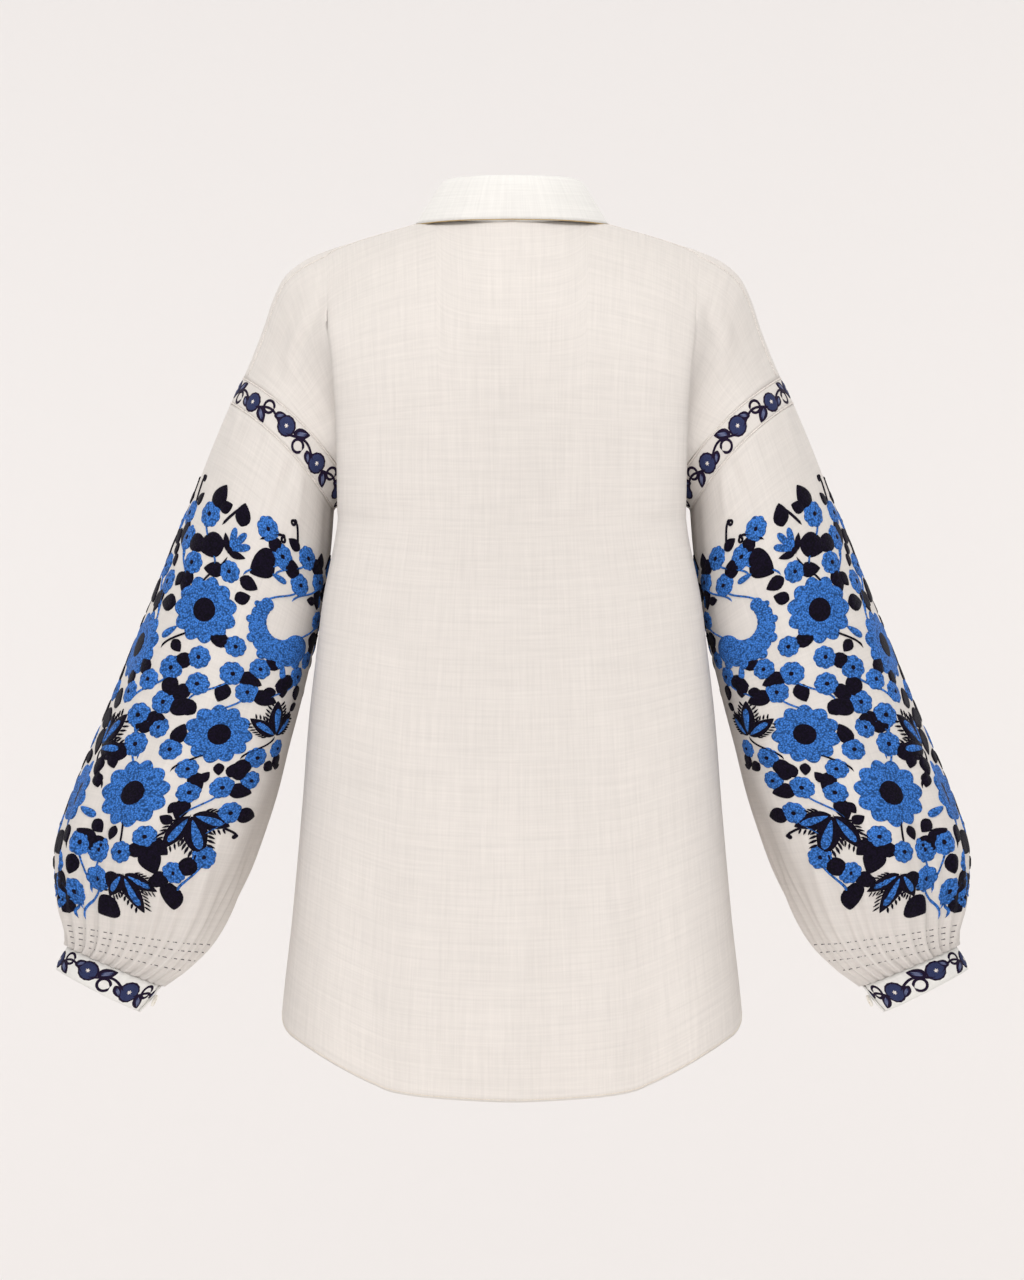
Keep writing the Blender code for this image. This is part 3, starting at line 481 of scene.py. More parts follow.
def row_values():
    """The v of each row, from the hem to the shoulder line."""
    return np.concatenate([
        np.linspace(-2, -1, HEM_ROWS + 1)[:-1],
        np.linspace(-1, 0, UNDERARM_ROWS + 1)[:-1],
        np.linspace(0, 1, SHOULDER_ROWS + 1),
    ])


def panel_grid(side):
    """(u, v) of a panel's points, rows first. The shoulder rows end at the shoulder seam."""
    u = even_columns()[None, :]
    v = row_values()[:, None]
    neck = column_at(NECK_HALF_WIDTH)
    seam_turn = SEAM_TURN / 90 * ease((u - neck) / (1.2 - neck))
    return np.broadcast_arrays(u, np.where(v > 0, v * (1 - side * seam_turn), v))


def panel_walls(side, way, wall, strength):
    """A half panel's outer and inner points. way is -1 for the wearer's right half, before it is mirrored."""
    u, v = panel_grid(side)
    outer = body_surface(u, v, side)
    inward = -body_normal(u, v, side)
    neck = u[0] <= column_at(NECK_HALF_WIDTH) + 1e-6
    calm = ease((2 - u) / 0.35) * ease((v + 2) / 0.04) * ease((1 - np.abs(v)) / 0.12 + 0.25)
    outer = outer - inward * (crease_height(outer * (way, 1, 1), side, strength) * calm)[..., None]
    side_seam = v[:, -1] < -1 + 1e-6
    inward[side_seam, -1] = (-1, 0, 0)
    inward[~side_seam, -1] = kept_behind_ring(inward[~side_seam, -1])
    inward[-1, neck] = -neck_mitre(outer[-1, neck])
    inner = outer + inward * wall
    for grid in (outer, inner):
        grid[side_seam, -1, 1] += side * SEAM_GAP / 2
        grid[-1] -= unit(grid[-1] - grid[-2]) * SEAM_GAP / 2
    return outer, inner


def overlap_lift(x, way, wall):
    """The fronts part where they lie on each other: the right one out, the left one in."""
    near = 1 - ease((np.abs(x) - OVERLAP * 1.3) / (OVERLAP_FADE - OVERLAP))
    return way * near * (wall + LAYER_GAP) / 2


# Meshes

def grid_corners(rows, columns, closed):
    """Row and column of each quad's corners, in order round it. The last column may wrap to the first."""
    j, i = np.meshgrid(np.arange(rows - 1), np.arange(columns if closed else columns - 1), indexing="ij")
    j, i = j.ravel(), i.ravel()
    return np.stack([j, j, j + 1, j + 1], 1), np.stack([i, i + 1, i + 1, i], 1)


def run_along(points):
    """The length run at each point of a line."""
    return np.concatenate([[0], np.cumsum(np.linalg.norm(np.diff(points, axis=0), axis=1))])


def lengths_along(points, axis):
    """Mean length run along one axis of a grid of points, in millimetres."""
    steps = np.linalg.norm(np.diff(points, axis=axis), axis=-1).mean(axis=1 - axis)
    return np.concatenate([[0], np.cumsum(steps)])


def mesh_object(name, points, quads, uvs, finish, colours=None):
    """A smooth mesh from arrays: points in millimetres, quads, a UV for each corner in metres."""
    mesh = bpy.data.meshes.new(name)
    mesh.vertices.add(len(points))
    mesh.vertices.foreach_set("co", (points * MM).astype(np.float32).ravel())
    mesh.loops.add(quads.size)
    mesh.loops.foreach_set("vertex_index", quads.astype(np.int32).ravel())
    mesh.polygons.add(len(quads))
    mesh.polygons.foreach_set("loop_start", np.arange(0, quads.size, 4, dtype=np.int32))
    mesh.update(calc_edges=True)
    layer = mesh.uv_layers.new(name="cloth")
    layer.data.foreach_set("uv", (uvs * MM).astype(np.float32).ravel())
    if colours is not None:
        attribute = mesh.attributes.new("thread", "FLOAT_COLOR", "POINT")
        attribute.data.foreach_set("color", colours.astype(np.float32).ravel())
    mesh.shade_smooth()
    mesh.materials.append(finish)
    obj = bpy.data.objects.new(name, mesh)
    bpy.context.scene.collection.objects.link(obj)
    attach(obj, "root")
    return obj


def cloth(name, outer, inner, closed, finish, node):
    """A closed wall of cloth from two grids of points, rows first, which stands for a solid."""
    outer, inner = np.asarray(outer), np.asarray(inner)
    rows, columns = outer.shape[:2]
    count = rows * columns
    j, i = grid_corners(rows, columns, closed)
    face = j * columns + i % columns
    last = columns if closed else columns - 1
    a = np.arange(last)
    b = a + 1
    top = (rows - 1) * columns
    next_a = b % columns
    rims = [np.stack([count + a, count + next_a, next_a, a], 1)]
    rims.append(np.stack([top + a, top + next_a, count + top + next_a, count + top + a], 1))
    rim_uv = [np.stack([0 * a + row] * 4 + [a, b, b, a], 1) for row in (0, rows - 1)]
    if not closed:
        r = np.arange(rows - 1) * columns
        s = r + columns
        end = columns - 1
        jj = np.arange(rows - 1)
        rims.append(np.stack([r, s, count + s, count + r], 1))
        rims.append(np.stack([count + r + end, count + s + end, s + end, r + end], 1))
        rim_uv.append(np.stack([jj, jj + 1, jj + 1, jj] + [0 * jj] * 4, 1))
        rim_uv.append(np.stack([jj, jj + 1, jj + 1, jj] + [0 * jj + end] * 4, 1))
    quads = np.concatenate([face, count + face[:, ::-1], *rims])
    rim_uv = np.concatenate(rim_uv)
    row_of = np.concatenate([j, j[:, ::-1], rim_uv[:, :4]])
    column_of = np.concatenate([i, i[:, ::-1], rim_uv[:, 4:]])
    wrapped = np.concatenate([outer, outer[:, :1]], axis=1) if closed else outer
    across, along = lengths_along(wrapped, 1), lengths_along(outer, 0)
    longest = [np.linalg.norm(np.diff(wrapped, axis=k), axis=-1).sum(axis=k).max() * MM for k in (1, 0)]
    uvs = np.stack([across[column_of], along[row_of]], -1)
    points = np.concatenate([outer.reshape(-1, 3), inner.reshape(-1, 3)])
    obj = mesh_object(name, points, quads, uvs, finish)
    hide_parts(node)
    return obj, longest, quad_area(outer, closed) * MM * MM


def quad_area(points, closed):
    """The area of a grid of points, from the two triangles of each quad."""
    if closed:
        points = np.concatenate([points, points[:, :1]], axis=1)
    a, b, c, d = points[:-1, :-1], points[:-1, 1:], points[1:, 1:], points[1:, :-1]
    first, second = np.cross(b - a, c - a), np.cross(c - a, d - a)
    return float((np.linalg.norm(first, axis=-1) + np.linalg.norm(second, axis=-1)).sum() / 2)


def weld(obj):
    """Joins the points that coincide and turns every face out."""
    bm = bmesh.new()
    bm.from_mesh(obj.data)
    bmesh.ops.remove_doubles(bm, verts=bm.verts, dist=1e-7)
    bmesh.ops.recalc_face_normals(bm, faces=bm.faces)
    bm.to_mesh(obj.data)
    bm.free()


def joined(name, bundles, finish, way=1):
    """One mesh from bundles of raised stitching, with the points that coincide welded. way -1 mirrors it."""
    points, quads, colours, uvs = zip(*bundles)
    starts = np.cumsum([0] + [len(part) for part in points[:-1]])
    quads = np.concatenate([part + start for part, start in zip(quads, starts)])
    points, uvs, colours = np.concatenate(points), np.concatenate(uvs), np.concatenate(colours)
    obj = mesh_object(name, points * (way, 1, 1), quads, uvs, finish, colours)
    weld(obj)


# The sleeve's surface

SLEEVE_TABLE = np.array(SLEEVE_SECTIONS, float)
LAST_SECTION = len(SLEEVE_SECTIONS) - 1


def ring_points(angle, outer_x, outer_z, inner_x, inner_z, half_depth, centre_y, bow=0.0):
    """An oval through its outer and inner points, bowed up behind and in front. Arrays or numbers."""
    centre = np.stack(np.broadcast_arrays((outer_x + inner_x) / 2, centre_y, (outer_z + inner_z) / 2), -1)
    reach_x, reach_z = (outer_x - inner_x) / 2, (outer_z - inner_z) / 2
    size = np.hypot(reach_x, reach_z)
    c, s = np.cos(angle), np.sin(angle)
    rise = bow * s * s
    offset = np.broadcast_arrays(
        reach_x * c - reach_z / size * rise, half_depth * s, reach_z * c + reach_x / size * rise
    )
    return centre + np.stack(offset, -1)


def ring_outward(angle, outer_x, outer_z, inner_x, inner_z, half_depth, *_):
    """The direction out of an oval at an angle."""
    reach_x, reach_z = (outer_x - inner_x) / 2, (outer_z - inner_z) / 2
    size = np.hypot(reach_x, reach_z)
    c, s = np.cos(angle), np.sin(angle)
    parts = np.broadcast_arrays(reach_x / size**2 * c, s / half_depth, reach_z / size**2 * c)
    return unit(np.stack(parts, -1))


def sleeve_row(at):
    knots = np.arange(len(SLEEVE_SECTIONS))
    return [spline(at, knots, SLEEVE_TABLE[:, k]) for k in range(SLEEVE_TABLE.shape[1])]


def top_folds(angle, at):
    """Soft folds below the strip: each hangs from the seam and fades down the sleeve."""
    total = 0 * angle * at
    for degrees, height, width, length in TOP_FOLDS:
        turn = np.angle(np.exp(1j * (angle - math.radians(degrees) - 0.05 * np.sin(at * 2 + degrees))))
        shape = np.exp(-((turn * 72 / width) ** 2))
        total = total + height * shape * ease(at / 0.35) * (1 - ease((at - 0.3) / length))
    return total


def sleeve_surface(angle, at, strength=1.0):
    """The sleeve at an angle round it and a place along its sections, with its folds and gathers."""
    angle, at = np.broadcast_arrays(np.asarray(angle, float), np.asarray(at, float))
    row = sleeve_row(at)
    ring = ring_points(angle, *row)
    uneven = 0.22 * np.sin(angle * 5 + 1) + 0.15 * np.sin(angle * 11)
    close = ease((at - GATHER_START - uneven * 2) / (LAST_SECTION - GATHER_START))
    turn = GATHERS * angle
    pucker = np.cos(turn) + close * (0.25 * np.cos(2 * turn) + 0.3 * np.cos(3 * turn + at))
    gather = GATHER_HEIGHT * close * pucker
    full = ease(at / 7) * ease((LAST_SECTION - at) / 3)
    billow = BILLOW_HEIGHT * full * np.cos(BILLOWS * angle + 0.9 * np.sin(angle) + 0.25 * at)
    wander = 0.9 * np.sin(angle * 9 + 2.1 * np.sin(at * 1.3) + 1) * full
    folds = (top_folds(angle, at) + wander) * strength
    return ring + ring_outward(angle, *row) * (gather + billow + folds)[..., None]


def sleeve_normal(angle, at, strength=1.0):
    step = 0.01
    high, low = np.minimum(at + step, LAST_SECTION), np.maximum(at - step, 0)
    along = sleeve_surface(angle, high, strength) - sleeve_surface(angle, low, strength)
    around = sleeve_surface(angle + step, at, strength) - sleeve_surface(angle - step, at, strength)
    return unit(np.cross(along, around))


def sleeve_lengths():
    """Run along the sleeve's outer line at each section, and half the way round at each section."""
    fine = np.linspace(0, LAST_SECTION, 400)
    row = sleeve_row(fine)
    run = np.concatenate([[0], np.cumsum(np.hypot(np.diff(row[0]), np.diff(row[1])))])
    reach = np.hypot(row[0] - row[2], row[1] - row[3]) / 2
    round_mean = np.sqrt((reach**2 + row[4] ** 2) / 2)
    return fine, run, round_mean


SLEEVE_AT, SLEEVE_RUN, SLEEVE_ROUND = sleeve_lengths()
SLEEVE_LENGTH = float(SLEEVE_RUN[-1])


def on_sleeve(flat, strength):
    """Places (round from the outer line, down from the strip) in millimetres, put on the sleeve.

    Gives each point and the direction out of the cloth.
    """
    at = np.interp(flat[..., 1], SLEEVE_RUN, SLEEVE_AT)
    angle = flat[..., 0] / np.interp(at, SLEEVE_AT, SLEEVE_ROUND)
    return sleeve_surface(angle, at, strength), sleeve_normal(angle, at, strength)


# Strip and cuff surfaces

STRIP_TOP = (*ARMHOLE_TOP, *UNDERARM, ARMHOLE_HALF_DEPTH, 0.0, ARMHOLE_BOW)
STRIP_BOTTOM = SLEEVE_SECTIONS[0]


def between_rings(angle, share, top, bottom):
    """A point on the band between two ovals, and the direction out of it."""
    row = [a + (b - a) * share for a, b in zip(top, bottom)]
    return ring_points(angle, *row), ring_outward(angle, *row)


def ring_length(row):
    reach = math.hypot(row[0] - row[2], row[1] - row[3]) / 2
    return 2 * math.pi * math.sqrt((reach**2 + row[4] ** 2) / 2)


def on_strip(flat):
    """Places (round from the outer line, down from the upper edge) in millimetres, put on the strip."""
    share = np.clip(flat[..., 1] / STRIP_WIDTH, 0, 1)
    angle = flat[..., 0] * 2 * math.pi / ring_length(STRIP_TOP)
    return between_rings(angle, share, STRIP_TOP, STRIP_BOTTOM)


# Raised stitching

PAD_RINGS = (                 # least length, points round, rings' sizes, rings' heights
    (40.0, 40, np.array((0.0, 0.4, 0.7, 0.88, 0.97, 1.0)), np.array((1.0, 1.0, 0.96, 0.76, 0.4, -0.35))),
    (25.0, 28, np.array((0.0, 0.5, 0.8, 0.95, 1.0)), np.array((1.0, 1.0, 0.84, 0.45, -0.35))),
    (9.0, 16, np.array((0.0, 0.55, 0.88, 1.0)), np.array((1.0, 0.95, 0.6, -0.35))),
    (0.0, 10, np.array((0.0, 0.7, 1.0)), np.array((1.0, 0.8, -0.35))),
)
LOBES = {"blossom": (11, 0.15), "flower": (8, 0.1), "bloom": (13, 0.07)}    # how many lobes, and how deep
POINTS_A_LOBE = {"blossom": 8, "flower": 4, "bloom": 3}
UNDERSIDE = 0.35              # how deep a pad's underside lies in the cloth, in millimetres


def outline(kind, count):
    """A closed outline of unit length and width along +x: the shape of one pad of stitches."""
    t = np.linspace(0, 2 * math.pi, count, endpoint=False)
    c, s = np.cos(t), np.sin(t)
    if kind == "petal":
        return np.stack([c / 2, s / 2 * (0.8 + 0.32 * c)], -1)
    if kind == "leaf":
        return np.stack([c / 2, s / 2 * np.abs(s) ** 0.6 * (1 - 0.3 * c)], -1)
    if kind in LOBES:
        lobes, depth = LOBES[kind]
        wave = (1 - depth * (1 - np.abs(np.cos(t * lobes / 2)))) / 2
        return np.stack([c * wave, s * wave], -1)
    return np.stack([c / 2, s / 2], -1)


def pads(shapes, place, height):
    """Domed pads of stitches. Each shape is (kind, x, y, length, width, turn, colour, height share).

    A pad is rings of its outline shrunk towards its middle, raised like a low dome, over a flat underside.
    """
    groups = {}
    for shape in shapes:
        least, points_round, *rings = next(row for row in PAD_RINGS if max(shape[3:5]) >= row[0])
        if shape[0] in LOBES:
            points_round = LOBES[shape[0]][0] * POINTS_A_LOBE[shape[0]]
        members, _ = groups.setdefault((shape[6], least, points_round), ([], rings))
        members.append(shape)
    made = []
    for key in sorted(groups):
        members, rings = groups[key]
        made.append(pad_group(members, place, height, key[2], *rings))
    return made


def pad_group(group, place, height, points_round, ring_sizes, ring_heights):
    """Pads of one colour and one fineness, as points, quads, colours and UVs."""
    base = np.stack([outline(shape[0], points_round) for shape in group])
    size = np.array([(shape[3], shape[4]) for shape in group])[:, None, :]
    turn = np.array([shape[5] for shape in group])[:, None]
    flat = base * size
    x = flat[..., 0] * np.cos(turn) - flat[..., 1] * np.sin(turn)
    y = flat[..., 0] * np.sin(turn) + flat[..., 1] * np.cos(turn)
    centre = np.array([(shape[1], shape[2]) for shape in group])[:, None, None, :]
    rings = np.stack([x, y], -1)[:, None] * ring_sizes[None, :, None, None] + centre
    share = np.array([shape[7] for shape in group])[:, None, None]
    lift = share * ring_heights[None, :, None] * height
    lift = np.broadcast_to(np.where(ring_heights[None, :, None] < 0, -UNDERSIDE, lift), rings.shape[:3])
    points, normal = place(rings)
    points = points + normal * lift[..., None]
    count, rows = len(group), len(ring_sizes)
    under, under_normal = place(np.broadcast_to(centre, (count, 1, points_round, 2)))
    points = np.concatenate([points, under - under_normal * UNDERSIDE], axis=1)
    j, i = grid_corners(rows + 1, points_round, True)
    face = j * points_round + i % points_round
    block = (rows + 1) * points_round
    quads = (face[None] + np.arange(count)[:, None, None] * block).reshape(-1, 4)
    spread = np.concatenate([rings, rings[:, -1:]], axis=1).reshape(-1, 2)
    colour = np.broadcast_to(THREADS[group[0][6]], (count * block, 4))
    return points.reshape(-1, 3), quads, colour, spread[quads]


CORD_PROFILE = np.array(((-0.5, -0.35), (-0.42, 0.55), (0.0, 1.0), (0.42, 0.55), (0.5, -0.35), (0.0, -0.45)))
CORD_TIP = 0.12               # share of its thickness that a cord keeps at its ends


def cord_bundle(points, spread, colour_key):
    """Rings of a cord's profile as one mesh, closed at both ends: points, quads, colours and UVs."""
    count, n = points.shape[:2]
    j, i = grid_corners(count, n, True)
    ends = np.array(((0, 1, 2, 5), (2, 3, 4, 5)))
    quads = np.concatenate([j * n + i % n, ends[:, ::-1], (count - 1) * n + ends])
    colours = np.broadcast_to(THREADS[colour_key], (count * n, 4))
    return points.reshape(-1, 3), quads, colours, spread.reshape(-1, 2)[quads]


def cord(path, width, height, colour_key, place):
    """A raised cord along a path of flat places: its profile is a low arch, carried along the path."""
    path = np.asarray(path, float)
    tangent = unit(np.gradient(path, axis=0))
    side = np.stack([-tangent[:, 1], tangent[:, 0]], -1)
    count = len(path)
    ends = np.minimum(np.arange(count), np.arange(count)[::-1]) / 2.0
    thick = np.clip(ends, CORD_TIP, 1)[:, None]
    flat = path[:, None, :] + side[:, None, :] * (CORD_PROFILE[None, :, 0] * width * thick)[..., None]
    points, normal = place(flat)
    arch = CORD_PROFILE[None, :, 1]
    lift = np.where(arch > 0, arch * height * thick, arch)
    points = points + normal * lift[..., None]
    return cord_bundle(points, flat, colour_key)


# ecru_and_shadow is a dark golden thread. Along the collar's edge it is painted shadow, and on the buttons it
# is thread.
THREADS = {
    "blue": (0.052, 0.158, 0.502, 1), "navy": (0.005, 0.0025, 0.011, 1), "slate": (0.033, 0.042, 0.112, 1),
    "plum": (0.014, 0.007, 0.026, 1), "lilac": (0.19, 0.21, 0.34, 1), "ecru_and_shadow": (0.62, 0.44, 0.20, 1),
    "cream": (0.82, 0.76, 0.71, 1), "tan": (0.87, 0.78, 0.66, 1),
}


def placed(kind, x, y, distance, angle, length, width, turn, colour, height=1.0):
    """One pad at a distance and angle from a place."""
    at_x, at_y = x + distance * math.cos(angle), y + distance * math.sin(angle)
    return (kind, at_x, at_y, length, width, turn, colour, height)


def blossom(x, y, radius, turn):
    """A broad round blossom with a scalloped edge and a large dark middle."""
    return [
        ("blossom", x, y, radius * 1.9, radius * 1.9, turn, "blue", 1.0),
        ("round", x, y, radius * 0.82, radius * 0.82, turn, "navy", 1.25),
    ]


def small_flower(x, y, radius, turn):
    """A small round flower with a scalloped edge and a small dark middle, and a leaf tucked behind it."""
    aside = turn * 7
    return [
        placed("leaf", x, y, radius * 1.35, aside, radius * 1.9, radius * 1.25, aside, "navy", 0.85),
        ("flower", x, y, radius * 1.85, radius * 1.85, turn, "blue", 1.0),
        ("round", x, y, radius * 0.46, radius * 0.46, 0, "navy", 1.35),
    ]


def bell(x, y, size, turn):
    """A half open bud: three long petals from one foot, with a dark calyx."""
    shapes = []
    for k in (-1, 1, 0):
        angle = turn + k * 0.52
        long = size * (1.5 if k == 0 else 1.35)
        height = 1.1 if k == 0 else 1.0
        shapes.append(placed("petal", x, y, long / 2, angle, long, size * 0.52, angle, "blue", height))
    for k in (-1, 1):
        angle = turn + k * 1.3
        bent = angle - k * 0.35
        shapes.append(placed("leaf", x, y, size * 0.5, angle, size * 1.1, size * 0.46, bent, "navy", 0.9))
    shapes.append(("round", x, y, size * 0.5, size * 0.5, 0, "navy", 1.15))
    return shapes


def leaf(x, y, length, turn):
    """A broad, dark, pointed leaf."""
    return [placed("leaf", x, y, length / 2, turn, length, length * 0.76, turn, "navy")]


def spray(x, y, size, turn):
    """Three long blue petals, each on a broad dark leaf with a comb of fine stitches along both its edges."""
    shapes = []
    for k in (-1, 1, 0):
        angle = turn + k * 0.9
        long = size * (1.0 if k == 0 else 0.84)
        shapes.append(placed("leaf", x, y, long * 0.54, angle, long, long * 0.46, angle, "navy", 0.85))
        for step in range(7):
            share = 0.3 + 0.1 * step
            out = long * 0.24 * math.sin(share * math.pi) ** 0.6
            for hand in (-1, 1):
                foot_x = x + math.cos(angle) * long * share - math.sin(angle) * out * hand
                foot_y = y + math.sin(angle) * long * share + math.cos(angle) * out * hand
                comb = angle + hand * 0.75
                thin = long * 0.06
                shapes.append(placed("leaf", foot_x, foot_y, thin, comb, long * 0.2, thin, comb, "navy", 0.8))
        shapes.append(placed("petal", x, y, long * 0.48, angle, long * 0.76, long * 0.25, angle, "blue", 1.3))
    return shapes


def plume(x, y, size, turn):
    """A broad blue plume: rounds along an arc that shrink towards its tip, with small outer lobes."""
    shapes = []
    for k in range(13):
        share = k / 12
        angle = turn + (share - 0.5) * 3.1
        across = size * (0.88 - 0.5 * share)
        shapes.append(placed("round", x, y, size * 0.72, angle, across, across, 0, "blue", 1.0))
        if k % 2:
            lobe, out = across * 0.46, size * 0.72 + across * 0.42
            shapes.append(placed("round", x, y, out, angle, lobe, lobe, 0, "blue", 0.95))
    return shapes


def tendril(x, y, size, turn, hand):
    """A path that runs out and curls round at its end like a hook."""
    t = np.linspace(0, 1, 34)
    angle = turn + hand * (0.5 * t + 5.6 * ease((t - 0.35) / 0.6))
    step = size * (1 - 0.62 * ease((t - 0.3) / 0.5)) / 15
    return np.stack([x + np.cumsum(np.cos(angle) * step), y + np.cumsum(np.sin(angle) * step)], -1)


# Flowers of the sleeve: kind, round from its outer line (below 0 in front), down from the strip, size, turn
MOTIFS = (
    ("small", 22, 100, 13.5, 10), ("small", 58, 92, 13.5, 40), ("small", 40, 120, 13.5, 0),
    ("bell", 92, 110, 16, -70), ("small", 138, 84, 13.5, 20), ("small", 164, 66, 13.5, 0),
    ("small", 190, 78, 13.5, 10), ("small", 166, 96, 13.5, 30), ("blossom", 92, 170, 33, 0),
    ("plume", 166, 148, 37, 120), ("small", 210, 118, 13.5, 0), ("small", 204, 190, 13.5, 20),
    ("small", 14, 150, 13.5, 30), ("small", 36, 162, 13.5, 15), ("blossom", 30, 222, 34, 12),
    ("small", 138, 214, 13.5, 0), ("small", 158, 226, 13.5, 0), ("spray", 204, 262, 40, -110),
    ("small", 84, 230, 13.5, 10), ("blossom", 150, 276, 33, 20), ("small", 90, 262, 13.5, 0),
    ("small", 72, 280, 13.5, 0), ("spray", 40, 318, 40, -60), ("small", 80, 306, 13.5, 20),
    ("blossom", 22, 362, 34, 5), ("blossom", 100, 350, 35, 10), ("small", 174, 328, 13.5, 0),
    ("small", 192, 352, 13.5, 0), ("spray", 158, 360, 46, 60), ("small", 64, 402, 13.5, 0),
    ("small", 84, 406, 13.5, 30), ("small", 32, 422, 13.5, 10), ("small", 182, 400, 13.5, 20),
    ("small", 84, 432, 13.5, 0), ("spray", 112, 424, 34, 80), ("small", 56, 446, 13.5, 20),
    ("small", -24, 118, 13.5, 0), ("bell", -60, 108, 16, -100), ("small", -96, 92, 13.5, 20),
    ("small", -130, 100, 13.5, 0), ("blossom", -52, 168, 33, 8), ("small", -106, 128, 13.5, 10),
    ("plume", -152, 168, 37, 60), ("bell", -196, 116, 16, -90), ("small", -36, 282, 13.5, 0),
    ("blossom", -104, 238, 34, 14), ("small", -40, 238, 13.5, 0), ("spray", -170, 262, 42, -100),
    ("blossom", -54, 330, 35, 0), ("small", -116, 296, 13.5, 10), ("blossom", -132, 358, 34, 22),
    ("small", -186, 330, 13.5, 0), ("small", -42, 392, 13.5, 0), ("spray", -84, 396, 38, 100),
    ("small", -124, 416, 13.5, 0), ("small", -62, 436, 13.5, 0), ("small", -12, 442, 13.5, 0),
    ("small", -206, 190, 13.5, 0), ("small", -206, 226, 13.5, 0),
)
MOTIF_REACH = {"blossom": 0.95, "small": 0.92, "bell": 0.95, "spray": 0.6, "plume": 1.05}
FIELD_EDGE = ((50, 84, 110, 150, 290, 330, 400, 440, 470), (224, 226, 228, 228, 222, 196, 182, 160, 90))
FIELD_TOP = 84.0
FIELD_TOP_SLANT = 0.17        # how much higher the field starts for each millimetre round
FIELD_BOTTOM = 464.0
FILLERS = (                   # free radius needed, largest radius, and what may stand there
    (11.4, 13.5, ("small", "small", "leaf")), (8.6, 11.4, ("leaf", "leaf", "bud")), (6.2, 8.6, ("leaf",)),
)


STEM_REACH = 26.0             # farthest that a stem starts beside its flower
STEM_DROP = 34.0              # how far below its flower a stem starts
STEM_PULL = 12.0              # how straight its ends run
STEM_WIDTH = 2.0
TENDRIL_WIDTH = 2.6
TENDRIL_TIP = 4.4
TENDRILS = (                  # round, down, size, turn and hand
    (26, 92, 24, -110, 1), (74, 96, 27, -70, 1), (112, 86, 26, -55, 1), (150, 68, 24, -110, -1),
    (198, 62, 20, -70, 1), (6, 94, 22, -90, -1), (222, 150, 17, -60, -1), (214, 296, 17, -20, 1),
    (190, 368, 17, 10, 1), (-40, 94, 25, -80, -1), (-84, 90, 26, -110, -1), (-118, 86, 25, -60, 1),
    (-160, 82, 23, -90, 1), (-226, 150, 15, -120, 1), (-200, 300, 15, -160, -1), (-178, 392, 15, 170, -1),
)


def in_field(spot, margin):
    """Whether a place lies within the embroidered field of the sleeve."""
    far = abs(spot[0])
    top = FIELD_TOP - FIELD_TOP_SLANT * far + margin
    return top < spot[1] < FIELD_BOTTOM - margin and far < np.interp(spot[1], *FIELD_EDGE) - margin


def stem_round(down):
    """Where the winding main stem of the back half stands."""
    return 74 + 34 * math.sin(down / 46.0 + 0.6)


def filler(kind, x, y, room, turn):
    """A small motif for a free place. A leaf or a bud grows from the rim of its neighbour."""
    foot = (x - math.cos(turn) * room * 1.15, y - math.sin(turn) * room * 1.15)
    if kind == "small":
        return small_flower(x, y, room, turn)
    if kind == "leaf":
        return leaf(*foot, room * 2.2, turn)
    return [placed("petal", *foot, room, turn, room * 2.0, room * 0.9, turn, "blue", 0.95)]


def sleeve_design():
    """The sleeve's design: flowers from the table, then flowers, leaves and buds in the free places."""
    shapes, cords, taken = [], [], []
    makers = {"blossom": blossom, "small": small_flower, "bell": bell, "spray": spray, "plume": plume}
    t = np.linspace(0, 1, 20)[:, None]
    for kind, x, y, size, turn in MOTIFS:
        turn = math.radians(turn)
        shift = {"bell": 0.7, "spray": 0.5}.get(kind, 0) * size
        taken.append((x + shift * math.cos(turn), y + shift * math.sin(turn), size * MOTIF_REACH[kind]))
        shapes += makers[kind](x, y, size, turn)
        if kind == "plume":
            continue
        stem = math.copysign(stem_round(y), x)
        end = np.array((x, y + size * 0.4 * (kind != "spray")))
        start = end + (np.clip(stem - x, -STEM_REACH, STEM_REACH), min(STEM_DROP, FIELD_BOTTOM - y))
        path = bezier(t, start, start - (0, STEM_PULL), end + (0, STEM_PULL), end)
        cords.append((path, STEM_WIDTH, "blue" if kind == "small" else "navy"))
    free = np.array(taken)
    generator = np.random.default_rng(11)
    for least, most, kinds in FILLERS:
        for y in np.arange(30, FIELD_BOTTOM, 4.0):
            for x in np.arange(-228, 229, 4.0):
                spot = np.array((x, y)) + generator.uniform(-1.8, 1.8, 2)
                if not in_field(spot, least * 0.6):
                    continue
                away = spot - free[:, :2]
                distance = np.hypot(*away.T) - free[:, 2]
                nearest = int(distance.argmin())
                room = float(distance[nearest])
                if room < least:
                    continue
                room = min(room, most)
                turn = math.atan2(away[nearest, 1], away[nearest, 0])
                kind = kinds[int(generator.integers(len(kinds)))]
                shapes += filler(kind, *spot, room, turn)
                free = np.vstack([free, (*spot, room * (0.85 if kind == "leaf" else 1.0))])
    for x, y, size, turn, hand in TENDRILS:
        path = tendril(x, y, size, math.radians(turn), hand)
        cords.append((path, TENDRIL_WIDTH, "navy"))
        shapes.append(("round", *path[-1], TENDRIL_TIP, TENDRIL_TIP, 0, "navy", 1.0))
    return shapes, cords


